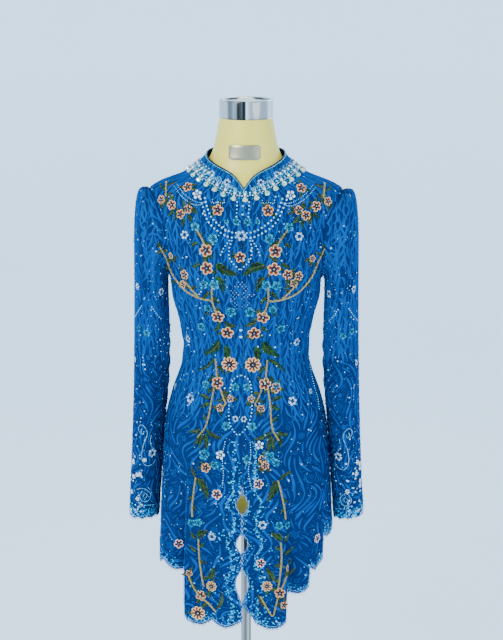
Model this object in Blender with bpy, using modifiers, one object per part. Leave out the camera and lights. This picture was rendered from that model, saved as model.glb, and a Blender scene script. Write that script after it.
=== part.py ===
"""A beaded lace kebaya blouse standing on a limbless dress form.

The form stands on the floor at the origin and faces -Y, with +Z up. Lengths below are in millimetres and
angles in degrees, and to_metres() turns them into Blender's metres. Left and right are the wearer's: left is +X.

The cloth is a set of walls on one surface. body_point() gives that surface: a ring of BODY_RINGS at each height,
with the bust, the skirt's folds and the applique added. Each panel is the stretch of it between its own seams.
"""

import math
from collections import namedtuple

import bmesh
import bpy
from mathutils import Matrix, Vector

# ---------------------------------------------------------------- driving sizes, mm
CLOTH = 1.4  # thickness of the lace on its net
SEAM = 0.3  # gap between two pieces at a seam
HALF_SEAM = SEAM / 2

BASE_RADIUS = 200.0
BASE_THICK = 12.0
SOCKET_RADIUS = 21.0
SOCKET_HEIGHT = 38.0
POLE_RADIUS = 10.5
FLANGE_RADIUS = 45.0
FLANGE_THICK = 5.0
FORM_BOTTOM = 690.0
NECK_TOP = 1480.0
CAP_RADIUS = 50.5
CAP_HEIGHT = 34.0
PLATE_HALF_WIDTH = 28.5
PLATE_LOW, PLATE_HIGH = 1408.0, 1435.0
PLATE_THICK = 1.6

HIP = 950.0  # the skirt hangs below this height
ARMPIT = 1175.0
SHOULDER_TIP = 1345.0
ARMHOLE_FRONT, ARMHOLE_BACK = 56.0, 50.0  # the armhole's reach in front of and behind the shoulder
NECK_WIDE, NECK_FRONT, NECK_BACK = 100.0, 83.0, 65.0  # the collar seam, seen from above
ZIP_HALF_WIDTH, ZIP_THICK = 8.0, 1.0
ZIP_GAP = 0.9  # between the zip and the cloth over it
COLLAR_GAP = 0.9  # half the space between the collar's ends at the zip

Ring = namedtuple("Ring", "height half_width front back power")
BODY_RINGS = [  # outside of the cloth, collar to hem; power 2 is an ellipse
    Ring(1432, 69, 58, 54, 2.00),
    Ring(1419, 72, 60, 56, 2.00),
    Ring(1410, 77, 62, 58, 2.00),
    Ring(1400, 86, 65, 61, 2.00),
    Ring(1392, 96, 67.5, 63, 1.95),
    Ring(1384, 107, 70, 65.5, 1.90),
    Ring(1376, 119, 73, 68, 1.85),
    Ring(1368.5, 140, 76, 71, 1.80),
    Ring(1361, 160, 79, 73.5, 1.80),
    Ring(1353, 175, 81.5, 76, 1.82),
    Ring(1345, 184, 84, 78.5, 1.86),
    Ring(1330, 186, 88.5, 84, 1.95),
    Ring(1300, 178, 96, 91, 2.15),
    Ring(1260, 167, 104, 98, 2.35),
    Ring(1215, 155, 110, 102, 2.40),
    Ring(1175, 145, 112, 102, 2.35),
    Ring(1140, 142, 110, 99, 2.25),
    Ring(1100, 131.5, 104, 92, 2.15),
    Ring(1060, 124.5, 97, 84, 2.10),
    Ring(1025, 122.5, 94, 80, 2.10),
    Ring(990, 129, 98, 88, 2.10),
    Ring(950, 143.5, 106, 104, 2.15),
    Ring(900, 157, 117, 119, 2.20),
    Ring(850, 163, 126, 127, 2.25),
    Ring(800, 166.5, 133, 131, 2.30),
    Ring(700, 172, 142, 137, 2.30),
    Ring(600, 177, 149, 142, 2.30),
    Ring(500, 181, 153, 146, 2.30),
]
FormRing = namedtuple("FormRing", "height half_width front back power")
HIP_RINGS = [  # the form below the cloth's hold
    FormRing(FORM_BOTTOM, 128, 90, 92, 2.1),
    FormRing(702, 138, 98, 100, 2.1),
    FormRing(750, 146, 104, 108, 2.15),
    FormRing(810, 153, 108, 114, 2.2),
    FormRing(860, 155, 110, 117, 2.2),
    FormRing(905, 152.5, 110, 114.5, 2.2),
]
NECK_RINGS = [  # the form above the shoulders
    FormRing(1384, 95, 63, 58, 1.95),
    FormRing(1392, 82, 60.5, 56, 2.0),
    FormRing(1402, 72, 58, 54.5, 2.0),
    FormRing(1417, 63.5, 56, 53, 2.0),
    FormRing(1442, 57, 54, 52, 2.0),
    FormRing(NECK_TOP - SEAM, 50, 50, 50, 2.0),
]
FORM_LEVELS = [950, 990, 1025, 1060, 1100, 1140, 1175, 1205, 1240, 1275, 1310, 1332, 1345, 1354, 1364, 1376]
FORM_COLUMNS = 32

BUST_X, BUST_HEIGHT = 68.0, 1152.0
BUST_WIDE, BUST_TALL, BUST_DEEP = 40.0, 44.0, 11.0

Fold = namedtuple("Fold", "angle width depth top")
FOLDS = [  # flutes of the skirt: negative angles are the right side, depth is outwards
    Fold(-33.5, 7.0, 9.0, 900),
    Fold(-42.0, 4.2, -27.0, 905),
    Fold(-61.0, 9.0, 5.0, 800),
    Fold(23.0, 6.5, 7.0, 860),
    Fold(30.5, 4.5, -15.0, 850),
    Fold(45.0, 6.0, 5.0, 800),
    Fold(57.0, 6.0, -8.0, 780),
    Fold(-118.0, 8.0, 7.0, 860),
    Fold(-130.0, 8.0, -11.0, 860),
    Fold(-150.0, 9.0, 8.0, 880),
    Fold(124.0, 9.0, 8.0, 860),
    Fold(139.0, 8.0, -12.0, 870),
    Fold(156.0, 9.0, 7.0, 880),
]
FOLD_FULL = 560.0  # folds reach their whole depth at this height

Lobe = namedtuple("Lobe", "start end height end_height sag columns")
HEM_LOBES = {  # the scalloped edge, from the centre front or back to the side seam
    "front_left": [
        Lobe(0, 7.5, 553, 511, 2, 3),
        Lobe(7.5, 24.5, 511, 514, 12, 5),
        Lobe(26, 43, 577, 577, 12, 3),
        Lobe(44.5, 62, 617, 617, 12, 3),
        Lobe(63.5, 90, 668, 668, 11, 3),
    ],
    "front_right": [
        Lobe(0, 16, 517, 517, 15, 5),
        Lobe(16, 34, 517, 517, 15, 5),
        Lobe(36, 60, 613, 613, 12, 4),
        Lobe(60, 90, 613, 613, 12, 4),
    ],
    "back_left": [
        Lobe(0, 22, 642, 642, 11, 3),
        Lobe(22, 44, 646, 646, 11, 3),
        Lobe(44, 66, 656, 656, 11, 3),
        Lobe(66, 90, 668, 668, 11, 3),
    ],
    "back_right": [
        Lobe(0, 22, 640, 640, 11, 3),
        Lobe(22, 44, 636, 636, 11, 3),
        Lobe(44, 66, 628, 628, 11, 3),
        Lobe(66, 90, 616, 616, 11, 3),
    ],
}
Slit = namedtuple("Slit", "height half_gap")
SLIT = [  # the front edges below the waist: they meet and part again, scallop by scallop
    Slit(517, HALF_SEAM),
    Slit(535, HALF_SEAM),
    Slit(554, HALF_SEAM),
    Slit(576, 8.0),
    Slit(592, 13.0),
    Slit(608, 10.5),
    Slit(625, HALF_SEAM),
    Slit(655, HALF_SEAM),
    Slit(666, 8.5),
    Slit(677, 12.0),
    Slit(689, 7.5),
    Slit(699, HALF_SEAM),
    Slit(735, HALF_SEAM),
    Slit(746, 8.5),
    Slit(757, 12.0),
    Slit(769, 7.0),
    Slit(780, HALF_SEAM),
    Slit(825, HALF_SEAM),
    Slit(885, HALF_SEAM),
]
SLIT_SPREAD = 46.0  # how far from the edge a scallop is drawn aside
BACK_SKIRT_ROWS = 8
TORSO_LEVELS = [950, 990, 1025, 1060, 1100, 1140]
UPPER_ROWS = 10  # from the armpit to the neck and shoulder
NECK_COLUMNS = {"front": 11, "back": 6}  # columns of a panel that end at the collar seam

CollarTop = namedtuple("CollarTop", "angle height")
COLLAR_TOP = [  # the collar's free edge, from the notch round to the centre back
    CollarTop(0, 1358),
    CollarTop(3, 1366),
    CollarTop(8, 1377),
    CollarTop(17, 1388),
    CollarTop(35, 1398),
    CollarTop(60, 1408),
    CollarTop(90, 1416),
    CollarTop(135, 1420),
    CollarTop(180, 1422),
]
COLLAR_ROWS = 5

SleeveRing = namedtuple("SleeveRing", "over_x over_z under_x under_z front back")
SLEEVE_RINGS = [  # over is the ring's outer end, under the end beside the body
    SleeveRing(192.5, 1348, 147.2, 1178.6, 58, 52),
    SleeveRing(201, 1344.5, 149.8, 1177.4, 60, 54),
    SleeveRing(207, 1333, 151.2, 1170, 60, 54),
    SleeveRing(211, 1310, 151.2, 1155, 58, 53),
    SleeveRing(214, 1268, 150.8, 1133, 55, 52),
    SleeveRing(215.5, 1212, 150.6, 1105, 52, 51),
    SleeveRing(217, 1148, 150.4, 1070, 50, 50),
    SleeveRing(219, 1086, 150.6, 1034, 50, 50),
    SleeveRing(221.5, 1020, 152.2, 990, 49, 50),
    SleeveRing(224, 958, 156, 942, 48, 48),
    SleeveRing(227, 897, 161.5, 892, 46, 46),
    SleeveRing(230, 838, 166.2, 836, 44, 44),
    SleeveRing(233, 782, 170.6, 781, 42, 42),
    SleeveRing(236, 730, 174.6, 730, 40, 40),
    SleeveRing(238, 682, 178, 682, 38, 38),
]
SEAM_BLEND = [0.8, 0.45, 0.18, 0.05]  # how much of the armhole's own shape the first rings keep
CUFF_SCALLOPS = 10
CUFF_SAG = 4.0
CuffLift = namedtuple("CuffLift", "outer inner")
CUFF_LIFT = {"sleeve_left": CuffLift(14, 4), "sleeve_right": CuffLift(0, 0)}  # each cuff's own tilt
HEAD_GATHERS = 2.0  # height of the gathers at the sleeve head

Bloom = namedtuple("Bloom", "x height radius")
BLOOMS = [  # thick beaded flowers on the fronts, the same on both sides of the centre
    Bloom(44, 1321, 12),
    Bloom(63, 1238, 11),
    Bloom(60, 1205, 12),
    Bloom(42, 1110, 13),
    Bloom(24, 1080, 13),
    Bloom(26, 1008, 17),
    Bloom(44, 972, 13),
    Bloom(62, 960, 11),
    Bloom(72, 806, 13),
    Bloom(36, 760, 12),
    Bloom(28, 640, 12),
    Bloom(82, 555, 13),
    Bloom(40, 572, 12),
]
BLOOM_HEIGHT = 3.0
Vine = namedtuple("Vine", "height x")
VINE = [  # the thick stem that joins the flowers
    Vine(1290, 78),
    Vine(1240, 62),
    Vine(1180, 40),
    Vine(1100, 52),
    Vine(1040, 30),
    Vine(985, 64),
    Vine(900, 88),
    Vine(860, 84),
    Vine(800, 92),
    Vine(720, 88),
    Vine(640, 84),
    Vine(560, 68),
]
VINE_HALF_WIDTH, VINE_HEIGHT = 9.0, 1.4

PEARL_RADIUS = 4.2
PEARLS = 18  # on each side of the collar
DROP_LENGTH, DROP_RADIUS = 15.0, 4.6
DROPS = 8  # on each side, from the centre front
DROP_TILT = 0.22  # the drops' lean away from the cloth
PEARL_LIFT = PEARL_RADIUS + 0.1  # bead centres above the cloth

SLIDER_HEIGHT = 1409.0
SLIDER_LONG = 8.0
BAIL_RADIUS, BAIL_THICK = 2.0, 0.9
HINGE_OUT = 1.1  # the pull's hinge line in front of the slider's face
PULL_LENGTH, PULL_WIDTH, PULL_THICK = 20.0, 6.4, 0.8

Look = namedtuple("Look", "red green blue metallic roughness")
LOOKS = {
    "lace": Look(0.010, 0.130, 0.520, 0.0, 0.55),
    "pearl": Look(0.850, 0.860, 0.820, 0.0, 0.20),
    "chrome": Look(0.800, 0.800, 0.810, 1.0, 0.12),
    "cream": Look(0.700, 0.640, 0.380, 0.0, 0.45),
    "zip": Look(0.020, 0.120, 0.420, 0.0, 0.50),
}


# ---------------------------------------------------------------- small helpers
def to_metres(point):
    return Vector(point) * 0.001


def clamp(value):
    return max(0.0, min(1.0, value))


def smooth(value):
    """0 to 1 with soft ends."""
    t = clamp(value)
    return t * t * (3 - 2 * t)


def mix(a, b, t):
    return a + (b - a) * t


def signed_power(value, power):
    return math.copysign(abs(value) ** power, value)


def read_table(rows, key, column, at):
    """A column of a table at any key, through all its rows, with no corner at a row."""
    rows = sorted(rows, key=lambda row: getattr(row, key))
    keys = [getattr(row, key) for row in rows]
    values = [getattr(row, column) for row in rows]
    at = max(keys[0], min(keys[-1], at))
    i = max(k for k in range(len(keys) - 1) if keys[k] <= at)
    step = keys[i + 1] - keys[i]

    def slope(k):
        low, high = max(k - 1, 0), min(k + 1, len(keys) - 1)
        return (values[high] - values[low]) / (keys[high] - keys[low])

    t = (at - keys[i]) / step
    start = (1 + 2 * t) * (1 - t) ** 2 * values[i] + t * (1 - t) ** 2 * step * slope(i)
    end = t * t * (3 - 2 * t) * values[i + 1] + t * t * (t - 1) * step * slope(i + 1)
    return start + end


def line_table(rows, key, column, at):
    """A column of a table at any key, straight from row to row."""
    rows = sorted(rows, key=lambda row: getattr(row, key))
    for low, high in zip(rows, rows[1:]):
        if at <= getattr(high, key):
            t = (at - getattr(low, key)) / (getattr(high, key) - getattr(low, key))
            return mix(getattr(low, column), getattr(high, column), clamp(t))
    return getattr(rows[-1], column)


# ---------------------------------------------------------------- the cloth's surface
def ring_at(rows, height):
    columns = ("half_width", "front", "back", "power")
    return Ring(height, *(read_table(rows, "height", column, height) for column in columns))


def ring_point(ring, angle):
    """A point of a ring. The angle is 0 at the centre front and 180 at the centre back."""
    turn = math.radians(angle)
    deep = ring.front if math.cos(turn) > 0 else ring.back
    x = ring.half_width * signed_power(math.sin(turn), 2 / ring.power)
    y = -deep * signed_power(math.cos(turn), 2 / ring.power)
    return Vector((x, y, ring.height))


def bust_at(point):
    """How far the bust carries the cloth forwards."""
    across = (abs(point.x) - BUST_X) / BUST_WIDE
    up = (point.z - BUST_HEIGHT) / BUST_TALL
    forwards = smooth(-point.y / 70)
    return BUST_DEEP * forwards * math.exp(-across * across - up * up)


def folds_at(angle, height):
    depth = 0.0
    for fold in FOLDS:
        away = (angle - fold.angle) / fold.width
        grown = smooth((fold.top - height) / (fold.top - FOLD_FULL))
        depth += fold.depth * grown * math.exp(-away * away)
    return depth


def body_point(angle, height):
    """The outside of the cloth, before its applique."""
    point = ring_point(ring_at(BODY_RINGS, height), angle)
    point.y -= bust_at(point)
    flat = Vector((point.x, point.y, 0))
    return point + flat.normalized() * folds_at(angle, height)


def body_normal(angle, height):
    """Straight out of the cloth's surface."""
    around = body_point(angle + 1.2, height) - body_point(angle - 1.2, height)
    up = body_point(angle, height + 2) - body_point(angle, height - 2)
    return around.cross(up).normalized()


def relief_at(point):
    """How far the beaded flowers and stems stand out of the fronts."""
    if point.y > 0:
        return 0.0
    x = abs(point.x)
    vine = clamp(1 - abs(x - line_table(VINE, "height", "x", point.z)) / VINE_HALF_WIDTH)
    inside = VINE[-1].height < point.z < VINE[0].height
    raised = [VINE_HEIGHT * vine] if inside else [0.0]
    for bloom in BLOOMS:
        away = math.hypot(x - bloom.x, point.z - bloom.height) / bloom.radius
        raised.append(BLOOM_HEIGHT * clamp(1 - away * away))
    return max(raised)


# ---------------------------------------------------------------- the seams
Place = namedtuple("Place", "angle height")


def place_of(x, height, front):
    """The ring angle at which the surface has this x."""
    ring = ring_at(BODY_RINGS, height)
    turn = math.degrees(math.asin(min(1.0, x / ring.half_width) ** (ring.power / 2)))
    return Place(turn if front else 180 - turn, height)


def armhole_spot(step, front):
    """(x, height) on the armhole seam, an oval from the side: step 0 is the armpit, UPPER_ROWS the shoulder tip."""
    turn = math.pi * step / UPPER_ROWS
    height = (SHOULDER_TIP + ARMPIT) / 2 - (SHOULDER_TIP - ARMPIT) / 2 * math.cos(turn)
    ring = ring_at(BODY_RINGS, height)
    reach, deep = (ARMHOLE_FRONT, ring.front) if front else (ARMHOLE_BACK, ring.back)
    inward = max(0.0, reach * math.sin(turn) / deep) ** ring.power
    return ring.half_width * (1 - inward) ** (1 / ring.power), height


def armhole_place(step, front):
    if step in (0, UPPER_ROWS):
        return Place(90.0, armhole_spot(step, front)[1])
    return place_of(*armhole_spot(step, front), front)


def neck_place(turn, front):
    """The collar seam, an oval from above: turn 0 is the centre and 90 the side of the neck."""
    x = NECK_WIDE * math.sin(math.radians(turn))
    y = (NECK_FRONT if front else NECK_BACK) * math.cos(math.radians(turn))
    low, high = 1340.0, 1419.0
    for _ in range(30):
        height = (low + high) / 2
        ring = ring_at(BODY_RINGS, height)
        deep = ring.front if front else ring.back
        if (x / ring.half_width) ** ring.power + (y / deep) ** ring.power < 1:
            low = height
        else:
            high = height
    if turn == 90:
        return Place(90.0, height)
    return place_of(x, height, front)


def seam_frames(places, closed):
    """Each place's point, outward normal and the in-surface direction across the seam."""
    points = [body_point(*place) for place in places]
    count = len(points)
    frames = []
    for i, place in enumerate(places):
        before = points[(i - 1) % count] if closed else points[max(i - 1, 0)]
        after = points[(i + 1) % count] if closed else points[min(i + 1, count - 1)]
        normal = body_normal(*place)
        across = normal.cross(after - before).normalized()
        frames.append((points[i], normal, across))
    return frames


def armhole_seam():
    """The left armhole as a closed loop: shoulder tip, down the front, armpit, up the back."""
    front = [armhole_place(step, True) for step in range(UPPER_ROWS, -1, -1)]
    back = [armhole_place(step, False) for step in range(1, UPPER_ROWS)]
    return seam_frames(front + back, closed=True)


def collar_seam():
    """The left half of the collar seam, from the centre front to the centre back."""
    fronts, backs = NECK_COLUMNS["front"], NECK_COLUMNS["back"]
    front = [neck_place(90 * i / fronts, True) for i in range(fronts + 1)]
    back = [neck_place(90 * i / backs, False) for i in range(backs - 1, -1, -1)]
    return front + back, seam_frames(front + back, closed=False)


# ---------------------------------------------------------------- making solids
def material(name):
    look = LOOKS[name]
    found = bpy.data.materials.get(name) or bpy.data.materials.new(name)
    found.use_nodes = True
    shader = found.node_tree.nodes["Principled BSDF"]
    shader.inputs["Base Color"].default_value = (look.red, look.green, look.blue, 1)
    shader.inputs["Metallic"].default_value = look.metallic
    shader.inputs["Roughness"].default_value = look.roughness
    return found


def keep(obj, look):
    """Names the object's material and puts it in the part's collection."""
    obj.data.materials.clear()
    obj.data.materials.append(material(look))
    for owner in list(obj.users_collection):
        owner.objects.unlink(obj)
    PART.objects.link(obj)
    return obj


def mesh_object(name, bm, look, smooth_shade=True):
    bmesh.ops.recalc_face_normals(bm, faces=bm.faces)
    mesh = bpy.data.meshes.new(name)
    bm.to_mesh(mesh)
    bm.free()
    obj = bpy.data.objects.new(name, mesh)
    bpy.context.scene.collection.objects.link(obj)
    if smooth_shade:
        mesh.shade_smooth()
        mesh.set_sharp_from_angle(angle=math.radians(40))
    return keep(obj, look)


def grid_faces(bm, grid, around):
    rows, columns = len(grid), len(grid[0])
    for j in range(rows - 1):
        for i in range(columns if around else columns - 1):
            k = (i + 1) % columns
            bm.faces.new((grid[j][i], grid[j][k], grid[j + 1][k], grid[j + 1][i]))


def wall(name, outer, inner, look, around=False):
    """A closed wall between two grids of points. around joins the last column to the first."""
    bm = bmesh.new()
    out = [[bm.verts.new(to_metres(p)) for p in row] for row in outer]
    back = [[bm.verts.new(to_metres(p)) for p in row] for row in inner]
    grid_faces(bm, out, around)
    grid_faces(bm, back, around)
    for row in (0, -1):
        grid_faces(bm, [out[row], back[row]], around)
    if not around:
        for column in (0, -1):
            grid_faces(bm, [[row[column] for row in out], [row[column] for row in back]], False)
    return mesh_object(name, bm, look)


def ringed_solid(name, rings, look, smooth_shade=True):
    """A closed solid lofted through rings of points, with flat ends."""
    bm = bmesh.new()
    grid = [[bm.verts.new(to_metres(p)) for p in ring] for ring in rings]
    grid_faces(bm, grid, around=True)
    bm.faces.new(grid[0])
    bm.faces.new(grid[-1])
    return mesh_object(name, bm, look, smooth_shade)


def turned(name, profile, look):
    """A solid turned about Z. The profile runs down its outer side, as (radius, height) pairs."""
    bm = bmesh.new()
    verts = [bm.verts.new(to_metres((radius, 0, height))) for radius, height in profile]
    for a, b in zip(verts, verts[1:]):
        bm.edges.new((a, b))
    if profile[0][0] > 0:
        bm.edges.new((verts[-1], verts[0]))
    mesh = bpy.data.meshes.new(name)
    bm.to_mesh(mesh)
    bm.free()
    obj = bpy.data.objects.new(name, mesh)
    bpy.context.scene.collection.objects.link(obj)
    screw = obj.modifiers.new("Turn", "SCREW")
    screw.steps = screw.render_steps = 32
    screw.use_merge_vertices = True
    screw.merge_threshold = 0.00001
    screw.use_smooth_shade = True
    return keep(obj, look)


# ---------------------------------------------------------------- the dress form
def make_stand():
    turned(
        "base_plate",
        [(0, BASE_THICK), (BASE_RADIUS - 5, BASE_THICK), (BASE_RADIUS, BASE_THICK - 4), (BASE_RADIUS, 0), (0, 0)],
        "chrome",
    )
    foot = BASE_THICK + SEAM
    inside = POLE_RADIUS + SEAM
    turned(
        "base_socket",
        [
            (inside, foot + SOCKET_HEIGHT),
            (SOCKET_RADIUS - 4, foot + SOCKET_HEIGHT),
            (SOCKET_RADIUS, foot + 7),
            (SOCKET_RADIUS + 16, foot + 3),
            (SOCKET_RADIUS + 16, foot),
            (inside, foot),
        ],
        "chrome",
    )
    top = FORM_BOTTOM - SEAM
    turned("pole", [(0, top), (POLE_RADIUS, top), (POLE_RADIUS, foot), (0, foot)], "chrome")
    turned(
        "pole_flange",
        [(inside, top), (FLANGE_RADIUS, top), (FLANGE_RADIUS, top - FLANGE_THICK), (inside, top - FLANGE_THICK)],
        "chrome",
    )
    turned(
        "neck_cap",
        [
            (0, NECK_TOP + CAP_HEIGHT - 3),
            (CAP_RADIUS - 5, NECK_TOP + CAP_HEIGHT - 3),
            (CAP_RADIUS - 4, NECK_TOP + CAP_HEIGHT),
            (CAP_RADIUS - 1.5, NECK_TOP + CAP_HEIGHT),
            (CAP_RADIUS, NECK_TOP + CAP_HEIGHT - 2),
            (CAP_RADIUS, NECK_TOP),
            (0, NECK_TOP),
        ],
        "chrome",
    )


def form_clearance(angle, height):
    """The space between the form and the cloth: close at the bust and waist, wider at the zip and shoulders."""
    zip_space = 2.3 * smooth((abs(angle) - 120) / 45)
    shoulder = 2.6 * smooth((height - 1190) / 60)
    return 0.7 + max(zip_space, shoulder)


def form_ring(height):
    """One ring of the form, under the cloth or free of it."""
    angles = [360 * i / FORM_COLUMNS - 180 for i in range(FORM_COLUMNS)]
    if height < FORM_LEVELS[0]:
        return [ring_point(ring_at(HIP_RINGS, height), angle) for angle in angles]
    if height > FORM_LEVELS[-1]:
        return [ring_point(ring_at(NECK_RINGS, height), angle) for angle in angles]
    ring = []
    for angle in angles:
        inset = CLOTH + form_clearance(angle, height)
        point = body_point(angle, height) - body_normal(angle, height) * inset
        ring.append(point)
    return ring


def make_form():
    levels = [row.height for row in HIP_RINGS] + FORM_LEVELS + [row.height for row in NECK_RINGS]
    ringed_solid("dress_form", [form_ring(height) for height in levels], "cream")


def make_neck_plate():
    """A blank metal plate bent round the front of the neck."""
    rows = [mix(PLATE_LOW, PLATE_HIGH, t / 3) for t in range(4)]
    outer, inner = [], []
    for height in rows:
        ring = ring_at(NECK_RINGS, height)
        outer.append([])
        inner.append([])
        for i in range(9):
            x = PLATE_HALF_WIDTH * (i / 4 - 1)
            turn = math.degrees(math.asin(x / ring.half_width))
            point = ring_point(ring, turn)
            out = Vector((point.x, point.y, 0)).normalized()
            inner[-1].append(point + out * 0.5)
            outer[-1].append(point + out * (0.5 + PLATE_THICK))
    wall("neck_plate", outer, inner, "chrome")


# ---------------------------------------------------------------- fronts and backs
def hem_columns(name):
    """(angle, hem height) of each column, from the centre to the side seam."""
    columns = []
    for lobe in HEM_LOBES[name]:
        for i in range(lobe.columns + 1):
            t = i / lobe.columns
            angle = mix(lobe.start, lobe.end, t)
            if columns and abs(columns[-1][0] - angle) < 0.01:
                continue
            height = mix(lobe.height, lobe.end_height, t)
            columns.append((angle, height - lobe.sag * math.sin(math.pi * t)))
    return columns


def panel_places(name):
    """The (angle, height) of every point of a panel, row by row from the hem up."""
    front = name.startswith("front")
    columns = hem_columns(name)
    rows = []
    if front:
        centre_hem = columns[0][1]
        above = [row.height for row in SLIT if row.height > centre_hem + 4]
        parts = [0.0] + [(height - centre_hem) / (HIP - centre_hem) for height in above]
    else:
        parts = [i / BACK_SKIRT_ROWS for i in range(BACK_SKIRT_ROWS)]
    for part in parts:
        rows.append([Place(angle, mix(hem, HIP, part)) for angle, hem in columns])
    for level in TORSO_LEVELS:
        rows.append([Place(angle, level) for angle, _ in columns])

    rows += upper_places(rows[0], front)
    return rows


def upper_places(columns, front):
    """The rows from the armpit to the collar seam and the shoulder seam."""
    last = len(columns) - 1
    neck = NECK_COLUMNS["front" if front else "back"]
    neck_height = neck_place(90, front).height
    top = []
    for i in range(last + 1):
        if i <= neck:
            turn = 90 * i / neck
            top.append((NECK_WIDE * math.sin(math.radians(turn)), neck_place(turn, front).height))
        else:
            height = mix(neck_height, SHOULDER_TIP, (i - neck) / (last - neck))
            top.append((ring_at(BODY_RINGS, height).half_width, height))
    low_ring = ring_at(BODY_RINGS, ARMPIT)
    bottom = [ring_point(low_ring, place.angle).x for place in columns]
    rows = []
    for j in range(UPPER_ROWS + 1):
        v = j / UPPER_ROWS
        edge_x, edge_height = armhole_spot(j, front)
        row = []
        for i in range(last + 1):
            s = columns[i].angle / 90
            crowded = 1 - (1 - v) ** (1 + 1.2 * smooth(s / 0.5))
            x = mix(bottom[i], top[i][0], v) + (edge_x - mix(bottom[last], top[last][0], v)) * s * s
            height = mix(ARMPIT, top[i][1], crowded)
            height += (edge_height - mix(ARMPIT, SHOULDER_TIP, crowded)) * smooth((s - 0.6) / 0.4)
            place = place_of(x, height, front)
            row.append(Place(place.angle if front else 180 - place.angle, height))
        rows.append(row)
    return rows


def keep_clear(point, front, on_side_seam, centre_gap):
    """Stops a panel half a seam short of the centre and of the side seam."""
    point.x = max(point.x, centre_gap)
    if on_side_seam:
        point.y = -max(-point.y, HALF_SEAM) if front else max(point.y, HALF_SEAM)
    return point


def make_panel(name):
    front = name.startswith("front")
    side = 1 if name.endswith("left") else -1
    rows = panel_places(name)
    last_row, last = len(rows) - 1, len(rows[0]) - 1
    neck = NECK_COLUMNS["front" if front else "back"]
    armhole = armhole_seam()
    _, collar = collar_seam()
    outer, inner = [], []
    for j, row in enumerate(rows):
        outer.append([])
        inner.append([])
        for i, place in enumerate(row):
            angle = place.angle if front else 180 - place.angle
            signed = angle * side
            point = body_point(signed, place.height)
            normal = body_normal(signed, place.height)
            point.x *= side
            normal.x *= side
            shift = Vector()
            step = j - (last_row - UPPER_ROWS)
            if i == last and step >= 0:
                at = (UPPER_ROWS - step) if front else (UPPER_ROWS + step) % len(armhole)
                point, normal, across = armhole[at]
                shift = across * (HALF_SEAM if across.dot(ARMHOLE_MIDDLE - point) < 0 else -HALF_SEAM)
            elif j == last_row and i <= neck:
                at = i if front else len(collar) - 1 - i
                point, normal, across = collar[at]
                shift = across * (HALF_SEAM if across.z < 0 else -HALF_SEAM)
            centre = HALF_SEAM
            if front and place.height < HIP:
                part = clamp(1 - point.x / SLIT_SPREAD)
                opened = line_table(SLIT, "height", "half_gap", place.height) * part
                point = point + Vector((opened, 0, 0))
                centre = opened if i == 0 else HALF_SEAM
            on_side = i == last or (j == last_row and i >= neck)
            raised = relief_at(point) if 0 < i < last and 0 < j < last_row else 0.0
            out = keep_clear(point + shift + normal * raised, front, on_side, centre)
            into = keep_clear(point + shift - normal * CLOTH, front, on_side, centre)
            outer[-1].append(Vector((out.x * side, out.y, out.z)))
            inner[-1].append(Vector((into.x * side, into.y, into.z)))
    wall(name, outer, inner, "lace")


# ---------------------------------------------------------------- collar, sleeves
def make_collar(side, name):
    """Half of the stand collar, from the notch at the centre front to the zip."""
    places, seam = collar_seam()
    outer, inner = [], []
    for j in range(COLLAR_ROWS):
        t = j / (COLLAR_ROWS - 1)
        outer.append([])
        inner.append([])
        for i, place in enumerate(places):
            high = read_table(COLLAR_TOP, "angle", "height", place.angle)
            at = Place(place.angle, mix(place.height, high, t))
            point, normal = body_point(*at), body_normal(*at)
            if j == 0:
                point, normal, across = seam[i]
                point = point + across * (HALF_SEAM if across.z > 0 else -HALF_SEAM)
            into = point - normal * CLOTH
            gap = HALF_SEAM if i < len(places) - 1 else COLLAR_GAP
            outer[-1].append(Vector((max(point.x, gap) * side, point.y, point.z)))
            inner[-1].append(Vector((max(into.x, gap) * side, into.y, into.z)))
    wall(name, outer, inner, "lace")


def sleeve_ring(row, keep_seam, seam):
    """One ring of the left sleeve. It keeps part of the armhole's shape while it turns to hang down."""
    over = Vector((row.over_x, 0, row.over_z))
    under = Vector((row.under_x, 0, row.under_z))
    middle, half = (over + under) / 2, (over - under) / 2
    tip, pit = seam[0][0], seam[UPPER_ROWS][0]
    ring = []
    for i in range(len(seam)):
        turn = 2 * math.pi * i / len(seam)
        deep = -row.front if turn < math.pi else row.back
        plain = middle + half * math.cos(turn) + Vector((0, deep * abs(math.sin(turn)), 0))
        own = seam[i][0] - mix(pit, tip, (1 + math.cos(turn)) / 2)
        oval = plain - mix(under, over, (1 + math.cos(turn)) / 2)
        ring.append(plain + (own - oval) * keep_seam)
    return ring


def make_sleeve(side, name):
    seam = armhole_seam()
    count = len(seam)
    rings = []
    for j, row in enumerate(SLEEVE_RINGS):
        kept = SEAM_BLEND[j] if j < len(SEAM_BLEND) else 0.0
        rings.append(sleeve_ring(row, kept, seam))
    for i, point in enumerate(rings[-1]):
        outward = (1 + math.cos(2 * math.pi * i / count)) / 2
        point.z += mix(CUFF_LIFT[name].inner, CUFF_LIFT[name].outer, outward)
        point.z -= CUFF_SAG * abs(math.sin(math.pi * CUFF_SCALLOPS * i / count))
    start = [point + across * (-HALF_SEAM if across.dot(ARMHOLE_MIDDLE - point) < 0 else HALF_SEAM)
             for point, _, across in seam]
    rings.insert(0, start)

    outer, inner = [], []
    for j, ring in enumerate(rings):
        outer.append([])
        inner.append([])
        for i, point in enumerate(ring):
            if j == 0:
                normal = seam[i][1]
            else:
                around = ring[(i + 1) % count] - ring[i - 1]
                along = rings[min(j + 1, len(rings) - 1)][i] - rings[j - 1][i]
                normal = around.cross(along).normalized()
            top = math.cos(2 * math.pi * i / count)
            gather = HEAD_GATHERS * smooth(top * 1.6) * (1 if i % 2 else 0) * (1 if 0 < j < 4 else 0)
            into = point - normal * CLOTH
            point = point + normal * gather
            outer[-1].append(Vector((point.x * side, point.y, point.z)))
            inner[-1].append(Vector((into.x * side, into.y, into.z)))
    wall(name, outer, inner, "lace", around=True)


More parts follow.
